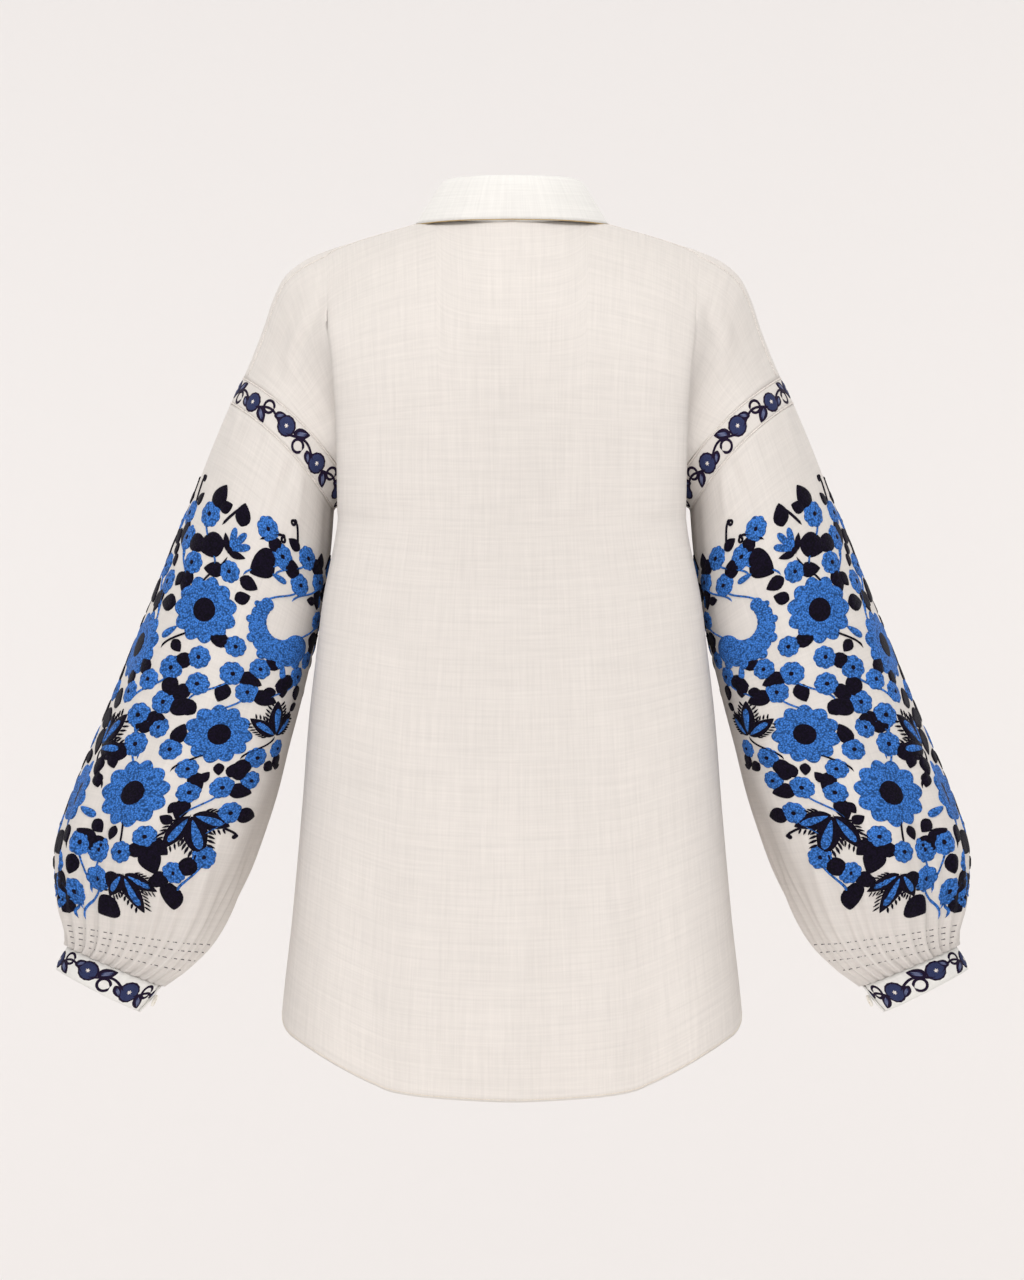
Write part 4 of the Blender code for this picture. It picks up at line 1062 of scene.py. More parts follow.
def vine_design(length, width, repeats, ends):
    """A scrolling vine along a band: round flowers, leaves with pale stitches and rings on a wavy stem."""
    pitch = (length - 2 * ends) / repeats
    shapes, cords = [], []
    middle = width / 2
    x = np.linspace(ends, length - ends, repeats * 24 + 1)
    wave = middle + width * 0.15 * np.sin(2 * math.pi * (x - ends) / pitch)
    cords.append((np.stack([x, wave], -1), 2.3, "plum"))
    for k in range(repeats):
        at = ends + k * pitch
        flip = 1 if k % 2 else -1
        flower = (at + pitch * 0.22, middle + width * 0.05 * flip)
        shapes.append(("bloom", *flower, width * 0.82, width * 0.82, 0, "plum", 0.9))
        shapes.append(("bloom", *flower, width * 0.72, width * 0.72, 0.2, "slate", 1.15))
        for p in range(3):
            shapes.append(("leaf", *flower, width * 0.24, width * 0.07, p * math.pi / 3 + 0.4, "cream", 1.6))
        for hand, start, long in ((flip, 0.42, 0.72), (-flip, 0.86, 0.56)):
            foot = (at + pitch * start, middle + hand * width * 0.02)
            turn = hand * 0.62
            long = width * long
            shapes.append(placed("leaf", *foot, long / 2, turn, long, long * 0.58, turn, "plum", 0.85))
            shapes.append(placed("leaf", *foot, long / 2, turn, long * 0.72, long * 0.3, turn, "slate", 1.1))
            for p in (-1, 0, 1):
                pale = (foot[0], foot[1] + p * long * 0.07, long * 0.5, turn, long * 0.56, long * 0.06, turn)
                shapes.append(placed("leaf", *pale, "lilac", 1.35))
        ring = (at + pitch * 0.66, middle - flip * width * 0.17)
        t = np.linspace(0, 2 * math.pi, 27)
        circle = np.stack([ring[0] + np.cos(t) * width * 0.22, ring[1] + np.sin(t) * width * 0.22], -1)
        cords.append((circle, 2.5, "plum"))
    return shapes, cords


# Materials

# How many times a metre the noise changes, across and along: fine and coarse threads both ways, and clouds
THREAD_PAIRS = (((560, 22), (19, 500)), ((250, 11), (10, 220)))
CLOUDS = (9, 7)
COARSE_SHARE = 0.7
CLOUD_SHARE = 0.4
WEAVE_RANGE = (1.5, 2.3)      # the sums of noise that are darkest and palest


def new_material(name, colour, roughness):
    made = bpy.data.materials.new(name)
    made.use_nodes = True
    shader = made.node_tree.nodes["Principled BSDF"]
    shader.inputs["Base Color"].default_value = (*colour, 1)
    shader.inputs["Roughness"].default_value = roughness
    return made, made.node_tree, shader


def add_node(tree, kind, **settings):
    node = tree.nodes.new(kind)
    for key, value in settings.items():
        if key in node.inputs:
            node.inputs[key].default_value = value
        else:
            setattr(node, key, value)
    return node


def slubs(tree, uv, across, along):
    """Thin uneven threads: noise stretched far along one direction of the cloth."""
    mapping = add_node(tree, "ShaderNodeMapping")
    mapping.inputs["Scale"].default_value = (across, along, 1)
    tree.links.new(uv, mapping.inputs["Vector"])
    noise = add_node(tree, "ShaderNodeTexNoise", Scale=1.0, Detail=2, Roughness=0.6)
    tree.links.new(mapping.outputs["Vector"], noise.inputs["Vector"])
    return noise.outputs["Fac"]


def mathed(tree, operation, a, b):
    node = add_node(tree, "ShaderNodeMath", operation=operation)
    for socket, value in zip(node.inputs, (a, b)):
        if isinstance(value, (int, float)):
            socket.default_value = value
        else:
            tree.links.new(value, socket)
    return node.outputs["Value"]


def linen_material(name, settings, light, through_share):
    """Plain woven linen: warp and weft slubs shade the colour and raise the surface a little."""
    base = [share * gain for share, gain in zip(settings.cloth_colour[:3], light)]
    made, tree, shader = new_material(name, base, 0.88)
    shader.inputs["Sheen Weight"].default_value = 0.12
    shader.inputs["Sheen Roughness"].default_value = 0.5
    shader.inputs["Specular IOR Level"].default_value = 0.2
    uv = add_node(tree, "ShaderNodeUVMap", uv_map="cloth").outputs["UV"]
    weave, coarse = (mathed(tree, "ADD", *(slubs(tree, uv, *way) for way in pair)) for pair in THREAD_PAIRS)
    coarse = mathed(tree, "MULTIPLY", coarse, COARSE_SHARE)
    cloud = mathed(tree, "MULTIPLY", slubs(tree, uv, *CLOUDS), CLOUD_SHARE)
    shade = mathed(tree, "ADD", mathed(tree, "ADD", weave, coarse), cloud)
    ramp = add_node(tree, "ShaderNodeMapRange")
    ramp.inputs["From Min"].default_value, ramp.inputs["From Max"].default_value = WEAVE_RANGE
    ramp.inputs["To Min"].default_value = 1 - settings.weave_contrast
    ramp.inputs["To Max"].default_value = 1.0
    tree.links.new(shade, ramp.inputs["Value"])
    tint = add_node(tree, "ShaderNodeMix", data_type="RGBA", blend_type="MULTIPLY")
    tint.inputs[0].default_value = 1.0
    tint.inputs[6].default_value = (*base, 1)
    tree.links.new(ramp.outputs["Result"], tint.inputs[7])
    tree.links.new(tint.outputs[2], shader.inputs["Base Color"])
    bump = add_node(tree, "ShaderNodeBump", Strength=0.35, Distance=0.0004)
    tree.links.new(weave, bump.inputs["Height"])
    tree.links.new(bump.outputs["Normal"], shader.inputs["Normal"])
    through = add_node(tree, "ShaderNodeBsdfTranslucent")
    tree.links.new(tint.outputs[2], through.inputs["Color"])
    mixed = add_node(tree, "ShaderNodeMixShader")
    mixed.inputs["Fac"].default_value = through_share
    tree.links.new(shader.outputs["BSDF"], mixed.inputs[1])
    tree.links.new(through.outputs["BSDF"], mixed.inputs[2])
    tree.links.new(mixed.outputs["Shader"], tree.nodes["Material Output"].inputs["Surface"])
    return made


def thread_material(name, loop_size, bright, dark, depth):
    """Stitched thread: the piece's own colour, broken into small loops that catch the light."""
    made, tree, shader = new_material(name, (0.1, 0.1, 0.2), 0.75)
    shader.inputs["Sheen Weight"].default_value = 0.02
    shader.inputs["Specular IOR Level"].default_value = 0.08
    uv = add_node(tree, "ShaderNodeUVMap", uv_map="cloth").outputs["UV"]
    loops = add_node(tree, "ShaderNodeTexVoronoi", Scale=1 / (loop_size * MM), Randomness=0.9)
    tree.links.new(uv, loops.inputs["Vector"])
    colour = add_node(tree, "ShaderNodeAttribute", attribute_name="thread")
    ramp = add_node(tree, "ShaderNodeMapRange")
    ramp.inputs["From Max"].default_value = 0.75
    ramp.inputs["To Min"].default_value = bright
    ramp.inputs["To Max"].default_value = dark
    tree.links.new(loops.outputs["Distance"], ramp.inputs["Value"])
    tint = add_node(tree, "ShaderNodeMix", data_type="RGBA", blend_type="MULTIPLY")
    tint.inputs[0].default_value = 1.0
    tree.links.new(colour.outputs["Color"], tint.inputs[6])
    tree.links.new(ramp.outputs["Result"], tint.inputs[7])
    tree.links.new(tint.outputs[2], shader.inputs["Base Color"])
    bump = add_node(tree, "ShaderNodeBump", Strength=0.9, Distance=depth * MM, invert=True)
    tree.links.new(loops.outputs["Distance"], bump.inputs["Height"])
    tree.links.new(bump.outputs["Normal"], shader.inputs["Normal"])
    return made


def plain_material(name, colour, roughness, coat):
    made, _, shader = new_material(name, colour, roughness)
    shader.inputs["Coat Weight"].default_value = coat
    shader.inputs["Coat Roughness"].default_value = 0.25
    return made


# Materials that several operators share

ONE_LAYER = ("woven_linen", (1, 1, 1), 0.24)    # name, gain on the cloth's colour, share of light let through
# The doubled cloth's gain on the colour is painted light. It makes the collar and the cuffs paler and cooler
# than the single cloth.
TWO_LAYERS = ("doubled_linen_painted_paler", (0.99, 1.025, 1.04), 0.08)
LOOPED = ("loop_thread", 1.7, 1.75, 0.35)       # name, size of a loop, how bright and how dark its ends are
FINE = ("fine_thread", 0.7, 1.2, 0.75)
LOOP_DEPTH = 0.4              # share of the pile
FINE_DEPTH = 0.15


def linen(layers=ONE_LAYER):
    """The collar and the cuffs are two layers thick, so less of the dark hollow shows through them. Their
    copy of the cloth's colour is also lifted a little and cooled, as painted light that brightens them beside
    the single cloth.
    """
    name, light, through_share = layers
    settings = bpy.context.scene.blouse_cloth
    return bpy.data.materials.get(name) or linen_material(name, settings, light, through_share)


def loop_thread():
    settings = bpy.context.scene.blouse_thread
    THREADS["blue"] = tuple(settings.flower_colour)
    THREADS["navy"] = tuple(settings.leaf_colour)
    return bpy.data.materials.get(LOOPED[0]) or thread_material(*LOOPED, settings.pile / MM * LOOP_DEPTH)


def fine_thread():
    return bpy.data.materials.get(FINE[0]) or thread_material(*FINE, FINE_DEPTH)


# Trees of the built surfaces, on which the collar and the lines of stitches lie

SURFACES = {}
# The collar's rim carries the dark line that paints the shadow under the collar's edge.
RIMS = {}                     # the edges along which a line of stitches lies, and their directions outward


def surface_tree(points):
    rows, columns = points.shape[:2]
    j, i = grid_corners(rows, columns, False)
    return BVHTree.FromPolygons(points.reshape(-1, 3).tolist(), (j * columns + i).tolist())


def need_surface(name):
    if name not in SURFACES:
        raise RuntimeError("build the %s first" % name)
    return SURFACES[name]


def turned_to_side(rows, way):
    """Rings of the left side, mirrored for the right one with their order kept facing out."""
    rows = rows if way > 0 else mirrored(rows)[:, ::-1]
    return rows[::-1]


# The panels

def back_walls(settings):
    """Both halves of the back have creases of their own."""
    wall = settings.wall / MM
    right = panel_walls(1, -1, wall, settings.creases)
    left = panel_walls(1, 1, wall, settings.creases)
    return [np.concatenate([a[:, :0:-1], mirrored(b)], axis=1) for a, b in zip(left, right)]


def front_walls(settings, way):
    wall = settings.wall / MM
    outer, inner = panel_walls(-1, way, wall, settings.creases)
    outer = np.concatenate([mirrored(outer[:, 1:2]), outer], axis=1)
    inner = np.concatenate([mirrored(inner[:, 1:2]), inner], axis=1)
    shift = overlap_lift(outer[..., 0], -way, wall)[..., None] * unit(outer - inner)
    outer, inner = outer + shift, inner + shift
    if way < 0:
        outer, inner = mirrored(outer)[:, ::-1], mirrored(inner)[:, ::-1]
    return outer, inner


# Neck

def neckline(angle):
    """The neckline at an angle: 0 at the nape, a quarter turn at the side, a half turn at the front."""
    u = column_at(np.abs(np.sin(angle)) * NECK_HALF_WIDTH)
    behind = body_surface(u, np.ones_like(u), 1)
    before = body_surface(u, np.ones_like(u), -1)
    line = np.where((np.cos(angle) > 0)[:, None], behind, before)
    return line * np.stack([np.sign(np.sin(angle)), 1 + 0 * angle, 1 + 0 * angle], -1)


def stand_edges(angle):
    """The stand's lower edge, which is the neckline, and its upper edge."""
    back = np.cos(angle) >= 0
    arch = np.abs(np.cos(angle))
    end_y = np.where(back, STAND_TOP_BACK[0], STAND_TOP_FRONT[0])
    end_z = np.where(back, STAND_TOP_BACK[1], STAND_TOP_FRONT[1])
    high_y = STAND_TOP_SIDE[0] + (end_y - STAND_TOP_SIDE[0]) * arch
    high_z = STAND_TOP_SIDE[1] + (end_z - STAND_TOP_SIDE[1]) * np.where(back, arch, arch**1.5)
    return neckline(angle), np.stack([STAND_TOP_HALF_WIDTH * np.sin(angle), high_y, high_z], -1)


def stand_walls(wall):
    """The band round the neck, whose right end lies on its left end."""
    step = math.pi / 2 / NECK_STEPS / STAND_FINENESS
    reach = (2 * NECK_STEPS + 1) * STAND_FINENESS
    angle = np.arange(-reach, reach + 1) * step
    low, high = stand_edges(angle)
    outward = unit(low * (1, 1, 0))
    lift = overlap_lift(low[:, 0], 1, wall) * np.sign(-angle) * (np.cos(angle) < 0)
    outer, inner = [], []
    for share in np.linspace(0, 1, STAND_ROWS):
        direction = unit(neck_mitre(low) * (1 - share) + outward * share)
        ring = low + (high - low) * share + direction * lift[:, None]
        ring[:, 2] += (1 - share) * STAND_RISE
        outer.append(ring[::-1])
        inner.append((ring - direction * wall)[::-1])
    return np.array(outer), np.array(inner)


def collar_profile(angle, share):
    """The turned-down collar: from the stand's edge over its roll and down to its own edge."""
    _, high = stand_edges(angle)
    degrees = np.degrees(np.abs(angle))
    knots = column(COLLAR_EDGE, COLLAR_COLUMNS, "angle")
    edge = [spline(degrees, knots, column(COLLAR_EDGE, COLLAR_COLUMNS, name)) for name in COLLAR_COLUMNS[1:]]
    edge = np.stack([edge[0] * np.sign(angle), edge[1], edge[2]], -1)
    outward = unit(np.stack([np.sin(angle), np.cos(angle), 0 * angle], -1))
    start = high + (0, 0, SEAM_GAP + 0.2)
    top = high + outward * ROLL_OUT + (0, 0, COLLAR_ROLL)
    shoulder = high + outward * FALL_OUT + (0, 0, -1.0)
    if share < ROLL_SHARE:
        return bezier(share / ROLL_SHARE, start, start + (0, 0, COLLAR_ROLL), top, shoulder)
    t = (share - ROLL_SHARE) / (1 - ROLL_SHARE)
    bend = shoulder + (edge - shoulder) * 0.4 + outward * 1.5
    return bezier(t, shoulder, shoulder + (shoulder - top) * 1.2, bend, edge)


def clear_of(points, tree):
    """How far each point moves out so that it clears the cloth below it."""
    moves = np.zeros_like(points)
    for i, point in enumerate(points):
        place, normal, _, distance = tree.find_nearest(tuple(point))
        out = np.array(normal)
        if out @ (np.array(place) - MIDDLE_OF_CHEST) < 0:
            out = -out
        height = float((point - np.array(place)) @ out)
        if distance < CLEARING_REACH and height < COLLAR_CLEARANCE:
            moves[i] = out * (COLLAR_CLEARANCE - height)
    return moves


def collar_walls(wall):
    """The collar's upper and under sides, kept clear of the back and of both fronts."""
    end = math.radians(COLLAR_END)
    angle = np.linspace(-end, end, COLLAR_POINTS)
    step = 0.01
    behind, left = np.cos(angle) > 0, angle > 0
    parts = {"back": behind, "front_left": ~behind & left, "front_right": ~behind & ~left}
    outer, inner = [], []
    for share in np.linspace(0, 1, COLLAR_ROWS):
        ring = collar_profile(angle, share)
        low, high = max(share - step, 0), min(share + step, 1)
        along = collar_profile(angle, high) - collar_profile(angle, low)
        round_it = collar_profile(angle + step, share) - collar_profile(angle - step, share)
        under = ring + unit(np.cross(round_it, along)) * wall
        if share > CLEARING_START:
            moves = np.zeros_like(ring)
            for name, there in parts.items():
                moves[there] = clear_of(under[there], need_surface(name))
            moves = smoothed(moves, 3) * ease((share - CLEARING_START) / 0.25)
            ring, under = ring + moves, under + moves
        outer.append(ring)
        inner.append(under)
    return np.array(outer), np.array(inner)


def smoothed(rows, times):
    """Each row of values drawn towards its neighbours, the ends kept."""
    for _ in range(times):
        rows = np.concatenate([rows[:1], (rows[:-2] + 2 * rows[1:-1] + rows[2:]) / 4, rows[-1:]])
    return rows


# Strips, sleeves and cuffs, made for the left side and mirrored

def strip_walls(wall):
    angle = np.linspace(0, 2 * math.pi, STRIP_POINTS, endpoint=False)
    outward = np.array((ARMHOLE_OUTWARD[0], 0, ARMHOLE_OUTWARD[1]))
    outer, inner = [], []
    for share in np.linspace(0, 1, STRIP_ROWS):
        ring, out = between_rings(angle, share, STRIP_TOP, STRIP_BOTTOM)
        ring = ring + outward * SEAM_GAP * (1 - 2 * share)
        outer.append(ring)
        inner.append(ring - out * wall)
    return np.array(outer), np.array(inner)


def sleeve_walls(wall, strength):
    angle = np.linspace(0, 2 * math.pi, GATHERS * POINTS_A_GATHER, endpoint=False)[None, :]
    even = np.linspace(0, SLEEVE_LENGTH, SLEEVE_ROWS)
    at = np.interp(even, SLEEVE_RUN, SLEEVE_AT)[:, None]
    outer = sleeve_surface(angle, at, strength)
    return outer[:, ::-1], (outer - ring_outward(angle, *sleeve_row(at)) * wall)[:, ::-1]


def cuff_lift(run, wall):
    """The upper end lies out from the middle of the overlap and the lower end in from it."""
    return (wall + LAYER_GAP) / 2 * (1 - 2 * run)


def cuff_walls(wall):
    turn = 2 * math.pi + math.radians(CUFF_OVERLAP)
    run = np.linspace(0, 1, CUFF_POINTS)
    angle = math.radians(CUFF_END) + run * turn
    outer, inner = [], []
    for share in np.linspace(0, 1, CUFF_ROWS):
        ring, out = between_rings(angle, share, CUFF_TOP, CUFF_BOTTOM)
        swell = CUFF_SWELL * math.sin(share * math.pi)
        ring = ring + out * (cuff_lift(run, wall) + swell)[:, None]
        outer.append(ring)
        inner.append(ring - out * wall)
    return np.array(outer), np.array(inner)


def cuff_length():
    """Along the upper edge of the cuff, its overlap with it."""
    return ring_length(CUFF_TOP) * (1 + CUFF_OVERLAP / 360)


def on_cuff(flat, wall):
    """Places (from the upper end, round the wrist; down from the upper edge) put on the cuff."""
    run = flat[..., 0] / cuff_length()
    angle = math.radians(CUFF_END) + run * (2 * math.pi + math.radians(CUFF_OVERLAP))
    share = np.clip(flat[..., 1] / CUFF_WIDTH, 0, 1)
    ring, out = between_rings(angle, share, CUFF_TOP, CUFF_BOTTOM)
    lift = cuff_lift(run, wall) + CUFF_SWELL * np.sin(share * math.pi)
    return ring + out * lift[..., None], out


def build_tube(name, walls, way, side_name):
    outer, inner = walls
    closed = name != "cuff"
    node = "%s_%s" % (name, side_name)
    if name == "sleeve":
        if way < 0:
            outer, inner = mirrored(outer)[:, ::-1], mirrored(inner)[:, ::-1]
    else:
        outer, inner = turned_to_side(outer, way), turned_to_side(inner, way)
    finish = linen(TWO_LAYERS) if name == "cuff" else linen()
    made = cloth(node + "_cloth", outer, inner, closed, finish, node)
    if name == "cuff":
        SURFACES[node] = surface_tree(outer)
    return made


# Sizes and colours that a user would change

def length_setting(name, description, default, least, most):
    return bpy.props.FloatProperty(
        name=name, description=description, default=default, min=least, max=most, unit="LENGTH"
    )


def share_setting(name, description, default, least, most):
    return bpy.props.FloatProperty(
        name=name, description=description, default=default, min=least, max=most, subtype="FACTOR"
    )


def colour_setting(name, description, *default):
    return bpy.props.FloatVectorProperty(
        name=name, description=description, default=(*default, 1.0), size=4, min=0.0, max=1.0, subtype="COLOR"
    )


class BlouseCloth(bpy.types.PropertyGroup):
    wall: length_setting("Wall", "Thickness of the cloth", 0.001, 0.0004, 0.0016)
    creases: share_setting("Creases", "Share of the soft creases' height", 1.0, 0.0, 2.0)
    cloth_colour: colour_setting("Cloth colour", "Colour of the linen", 0.860, 0.815, 0.775)
    weave_contrast: share_setting("Weave contrast", "How much the threads darken the cloth", 0.10, 0.0, 1.0)


class BlouseThread(bpy.types.PropertyGroup):
    pile: length_setting("Pile", "Height of the looped stitches", 0.0013, 0.0004, 0.004)
    flower_colour: colour_setting("Flower colour", "Thread of the petals", 0.040, 0.160, 0.51)
    leaf_colour: colour_setting("Leaf colour", "Thread of stems, leaves and middles", 0.005, 0.0025, 0.011)
    seam_width: length_setting("Seam width", "Width of the visible lines of stitches", 0.0007, 0.0003, 0.002)


class BlouseButtons(bpy.types.PropertyGroup):
    radius: length_setting("Radius", "Radius of a button", 0.0055, 0.004, 0.0055)
    thickness: length_setting("Thickness", "Thickness of a button", 0.0024, 0.0015, 0.0024)
    colour: colour_setting("Colour", "Colour of the buttons", 0.80, 0.76, 0.68)


class BlouseStage(bpy.types.PropertyGroup):
    backdrop_colour: colour_setting("Backdrop colour", "Colour of the floor and backdrop", 0.90, 0.875, 0.865)
    light: share_setting("Light", "Share of the studio light's strength", 1.0, 0.1, 4.0)
    distance: length_setting("Distance", "How far the camera stands from the blouse", 6.0, 3.0, 12.0)


# Operators

class BLOUSE_OT_body(bpy.types.Operator):
    """Build the back and both fronts"""

    bl_idname = "blouse.body"
    bl_label = "Body"

    def execute(self, context):
        settings = context.scene.blouse_cloth
        outer, inner = back_walls(settings)
        SURFACES["back"] = surface_tree(outer)
        cloth("back_cloth", outer, inner, False, linen(), "back")
        for side_name, way in SIDES:
            node = "front_" + side_name
            outer, inner = front_walls(settings, way)
            SURFACES[node] = surface_tree(outer)
            cloth(node + "_cloth", outer, inner, False, linen(), node)
        return {"FINISHED"}


class BLOUSE_OT_collar(bpy.types.Operator):
    """Build the collar and its stand"""

    bl_idname = "blouse.collar"
    bl_label = "Collar"

    def execute(self, context):
        wall = context.scene.blouse_cloth.wall / MM
        outer, inner = stand_walls(wall)
        SURFACES["collar_stand"] = surface_tree(outer)
        finish = linen(TWO_LAYERS)
        cloth("collar_stand_cloth", outer, inner, False, finish, "collar_stand")
        upper, under = collar_walls(wall)
        SURFACES["collar"] = surface_tree(upper)
        RIMS["collar"] = upper[-1] * 0.75 + under[-1] * 0.25, unit(upper[-1] - under[-1])
        cloth("collar_cloth", under, upper, False, finish, "collar")
        return {"FINISHED"}


class BLOUSE_OT_sleeves(bpy.types.Operator):
    """Build both sleeves with their gathers"""

    bl_idname = "blouse.sleeves"
    bl_label = "Sleeves"

    def execute(self, context):
        settings = context.scene.blouse_cloth
        walls = sleeve_walls(settings.wall / MM, settings.creases)
        for side_name, way in SIDES:
            build_tube("sleeve", walls, way, side_name)
        return {"FINISHED"}


class BLOUSE_OT_strips(bpy.types.Operator):
    """Build the strips round the armholes and the cuffs"""

    bl_idname = "blouse.strips"
    bl_label = "Armhole strips and cuffs"

    def execute(self, context):
        wall = context.scene.blouse_cloth.wall / MM
        for side_name, way in SIDES:
            for name, walls in (("armhole_strip", strip_walls), ("cuff", cuff_walls)):
                build_tube(name, walls(wall), way, side_name)
        return {"FINISHED"}


class BLOUSE_OT_sleeve_embroidery(bpy.types.Operator):
    """Stitch the flowers, leaves and stems on the sleeves"""

    bl_idname = "blouse.sleeve_embroidery"
    bl_label = "Sleeve embroidery"

    def execute(self, context):
        finish = loop_thread()
        strength = context.scene.blouse_cloth.creases
        pile = context.scene.blouse_thread.pile / MM
        shapes, cords = sleeve_design()
        bundles = pads(shapes, lambda flat: on_sleeve(flat, strength), pile)
        for path, width, key in cords:
            bundles.append(cord(path, width, pile * 0.8, key, lambda flat: on_sleeve(flat, strength)))
        for side_name, way in SIDES:
            joined("sleeve_flowers_" + side_name, bundles, finish, way)
        return {"FINISHED"}


class BLOUSE_OT_trim_embroidery(bpy.types.Operator):
    """Stitch the small vines on the armhole strips and the cuffs"""

    bl_idname = "blouse.trim_embroidery"
    bl_label = "Trim embroidery"

    def execute(self, context):
        finish = fine_thread()
        wall = context.scene.blouse_cloth.wall / MM

        def on_this_cuff(flat):
            return on_cuff(flat, wall)

        kinds = (
            ("strip_vine_", on_strip, ring_length(STRIP_TOP), STRIP_WIDTH, STRIP_REPEATS, 0),
            ("cuff_vine_", on_this_cuff, cuff_length(), CUFF_WIDTH, CUFF_REPEATS, CUFF_VINE_END),
        )
        for name, place, *sizes in kinds:
            shapes, cords = vine_design(*sizes)
            bundles = pads(shapes, place, VINE_HEIGHT)
            bundles += [cord(path, thick, VINE_HEIGHT, key, place) for path, thick, key in cords]
            for side_name, way in SIDES:
                joined(name + side_name, bundles, finish, way)
        return {"FINISHED"}


def seam_line(points, outward, width, key="ecru_and_shadow"):
    """A fine cord of stitches along places in space, standing out along the given directions."""
    tangent = unit(np.gradient(points, axis=0))
    side = unit(np.cross(outward, tangent))
    profile = CORD_PROFILE
    grid = points[:, None, :] + side[:, None, :] * (profile[None, :, 0] * width)[..., None]
    lift = np.where(profile[:, 1] > 0, profile[:, 1] * width * 0.45, profile[:, 1] * 0.4)
    grid = grid + outward[:, None, :] * lift[None, :, None]
    run = run_along(points)
    spread = np.stack(np.broadcast_arrays(run[:, None], profile[None, :, 0] * width), -1)
    return cord_bundle(grid, spread, key)


def on_tree(line, direction, tree):
    """A line cast onto a built surface along a direction: the places met and the directions out of it."""
    points, normals = [], []
    for point, way in zip(line, direction):
        place, normal, _, _ = tree.ray_cast(Vector(point + way * 12), Vector(-way), 40)
        if place is None:
            continue
        out = np.array(normal)
        points.append(np.array(place))
        normals.append(out if out @ way > 0 else -out)
    return np.array(points), np.array(normals)


def body_line(u, v, side, way):
    """A line on the back or a front, laid on the built cloth."""
    line = body_surface(u, v, side)
    out = body_normal(u, v, side)
    if way < 0:
        line, out = mirrored(line), mirrored(out)
    node = "back" if side > 0 else ("front_left" if way > 0 else "front_right")
    return on_tree(line, out, need_surface(node))


class BLOUSE_OT_stitching(bpy.types.Operator):
    """Sew the lines of stitches: hem, front edge, collar, shoulder seams and the gathers at the wrists. The
    collar's line is dark and is also a painted shadow under its edge.
    """

    bl_idname = "blouse.stitching"
    bl_label = "Stitching"

    def execute(self, context):
        finish = fine_thread()
        width = context.scene.blouse_thread.seam_width / MM
        strength = context.scene.blouse_cloth.creases
        lines = {"back": [], "front_left": [], "front_right": [], "collar": [], "shoulder": []}
        across = np.linspace(0.0, 1.985, 150)
        hem = np.full_like(across, -2 + HEM_STITCH_RISE)
        fine = width * 0.7
        # The collar's line is dark golden and wide, which makes it a painted shadow under the collar's edge.
        special = {"collar": ("ecru_and_shadow", COLLAR_SHADOW_LINE), "shoulder": ("cream", FELLED_SEAM)}
        seam_u = np.linspace(column_at(NECK_HALF_WIDTH) + 0.02, 1.97, 80)
        seam_turn = 1 - SEAM_TURN / 90 * ease((seam_u - seam_u[0]) / (1.2 - seam_u[0])) - 0.004
        for _, way in SIDES:
            lines["back"].append(body_line(across, hem, 1, way))
            lines["shoulder"].append(body_line(seam_u, seam_turn, 1, way))
        for side_name, way in SIDES:
            node = "front_" + side_name
            lines[node].append(body_line(across, hem, -1, way))
        rows = np.linspace(-1.99, 0.97, 170)
        for x in PLACKET_LINES:
            lines["front_right"].append(body_line(np.full_like(rows, float(column_at(x))), rows, -1, -1))
        need_surface("collar")
        lines["collar"].append(RIMS["collar"])
        for name, found in lines.items():
            key, thick = special.get(name, ("tan", fine))
            bundles = [seam_line(points, out, thick, key) for points, out in found]
            joined(name + "_stitches", bundles, finish)
        angle = np.linspace(0, 2 * math.pi, 260)
        bundles = []
        for ring in (STRIP_TOP, STRIP_BOTTOM):
            points, out = ring_points(angle, *ring), ring_outward(angle, *ring)
            bundles.append(seam_line(points, out, FELLED_SEAM, "cream"))
        for side_name, way in SIDES:
            joined("strip_seams_" + side_name, bundles, finish, way)
        bundles = []
        for row in GATHER_ROWS:
            for k in range(GATHERS):
                for share in (0.3, 0.7):
                    middle = (k + share) * 2 * math.pi / GATHERS
                    turn = np.linspace(middle - GATHER_DASH, middle + GATHER_DASH, 5)
                    at = np.interp(np.full(5, SLEEVE_LENGTH - row), SLEEVE_RUN, SLEEVE_AT)
                    points, out = sleeve_surface(turn, at, strength), sleeve_normal(turn, at, strength)
                    bundles.append(seam_line(points, out, GATHER_STITCH, "plum"))
        for side_name, way in SIDES:
            joined("gather_stitches_" + side_name, bundles, finish, way)
        return {"FINISHED"}


# Buttons

BUTTON_SEGMENTS = 64
BUTTON_PROFILE = (  # share of the radius, share of the thickness
    (0.0, 0.62), (0.3, 0.62), (0.55, 0.64), (0.66, 0.72), (0.74, 0.92), (0.82, 1.0), (0.9, 0.97), (0.97, 0.8),
    (1.0, 0.5), (0.97, 0.22), (0.88, 0.05), (0.6, 0.0), (0.0, 0.0),
)


def button_place(node):
    """A button's solid: the middle of its underside and three directions, the last out of the cloth."""
    points = np.array([v.co for v in bpy.data.objects[node].data.vertices]) / MM
    centre = points.mean(axis=0)
    _, _, axes = np.linalg.svd(points - centre)
    across, out = axes[0], axes[2]
    height = (points - centre) @ out
    radius = np.linalg.norm(points - centre - height[:, None] * out, axis=1)
    if radius[height > 0].mean() > radius[height < 0].mean():
        out = -out
    return centre - out * (height.max() - height.min()) / 2, across, np.cross(out, across), out


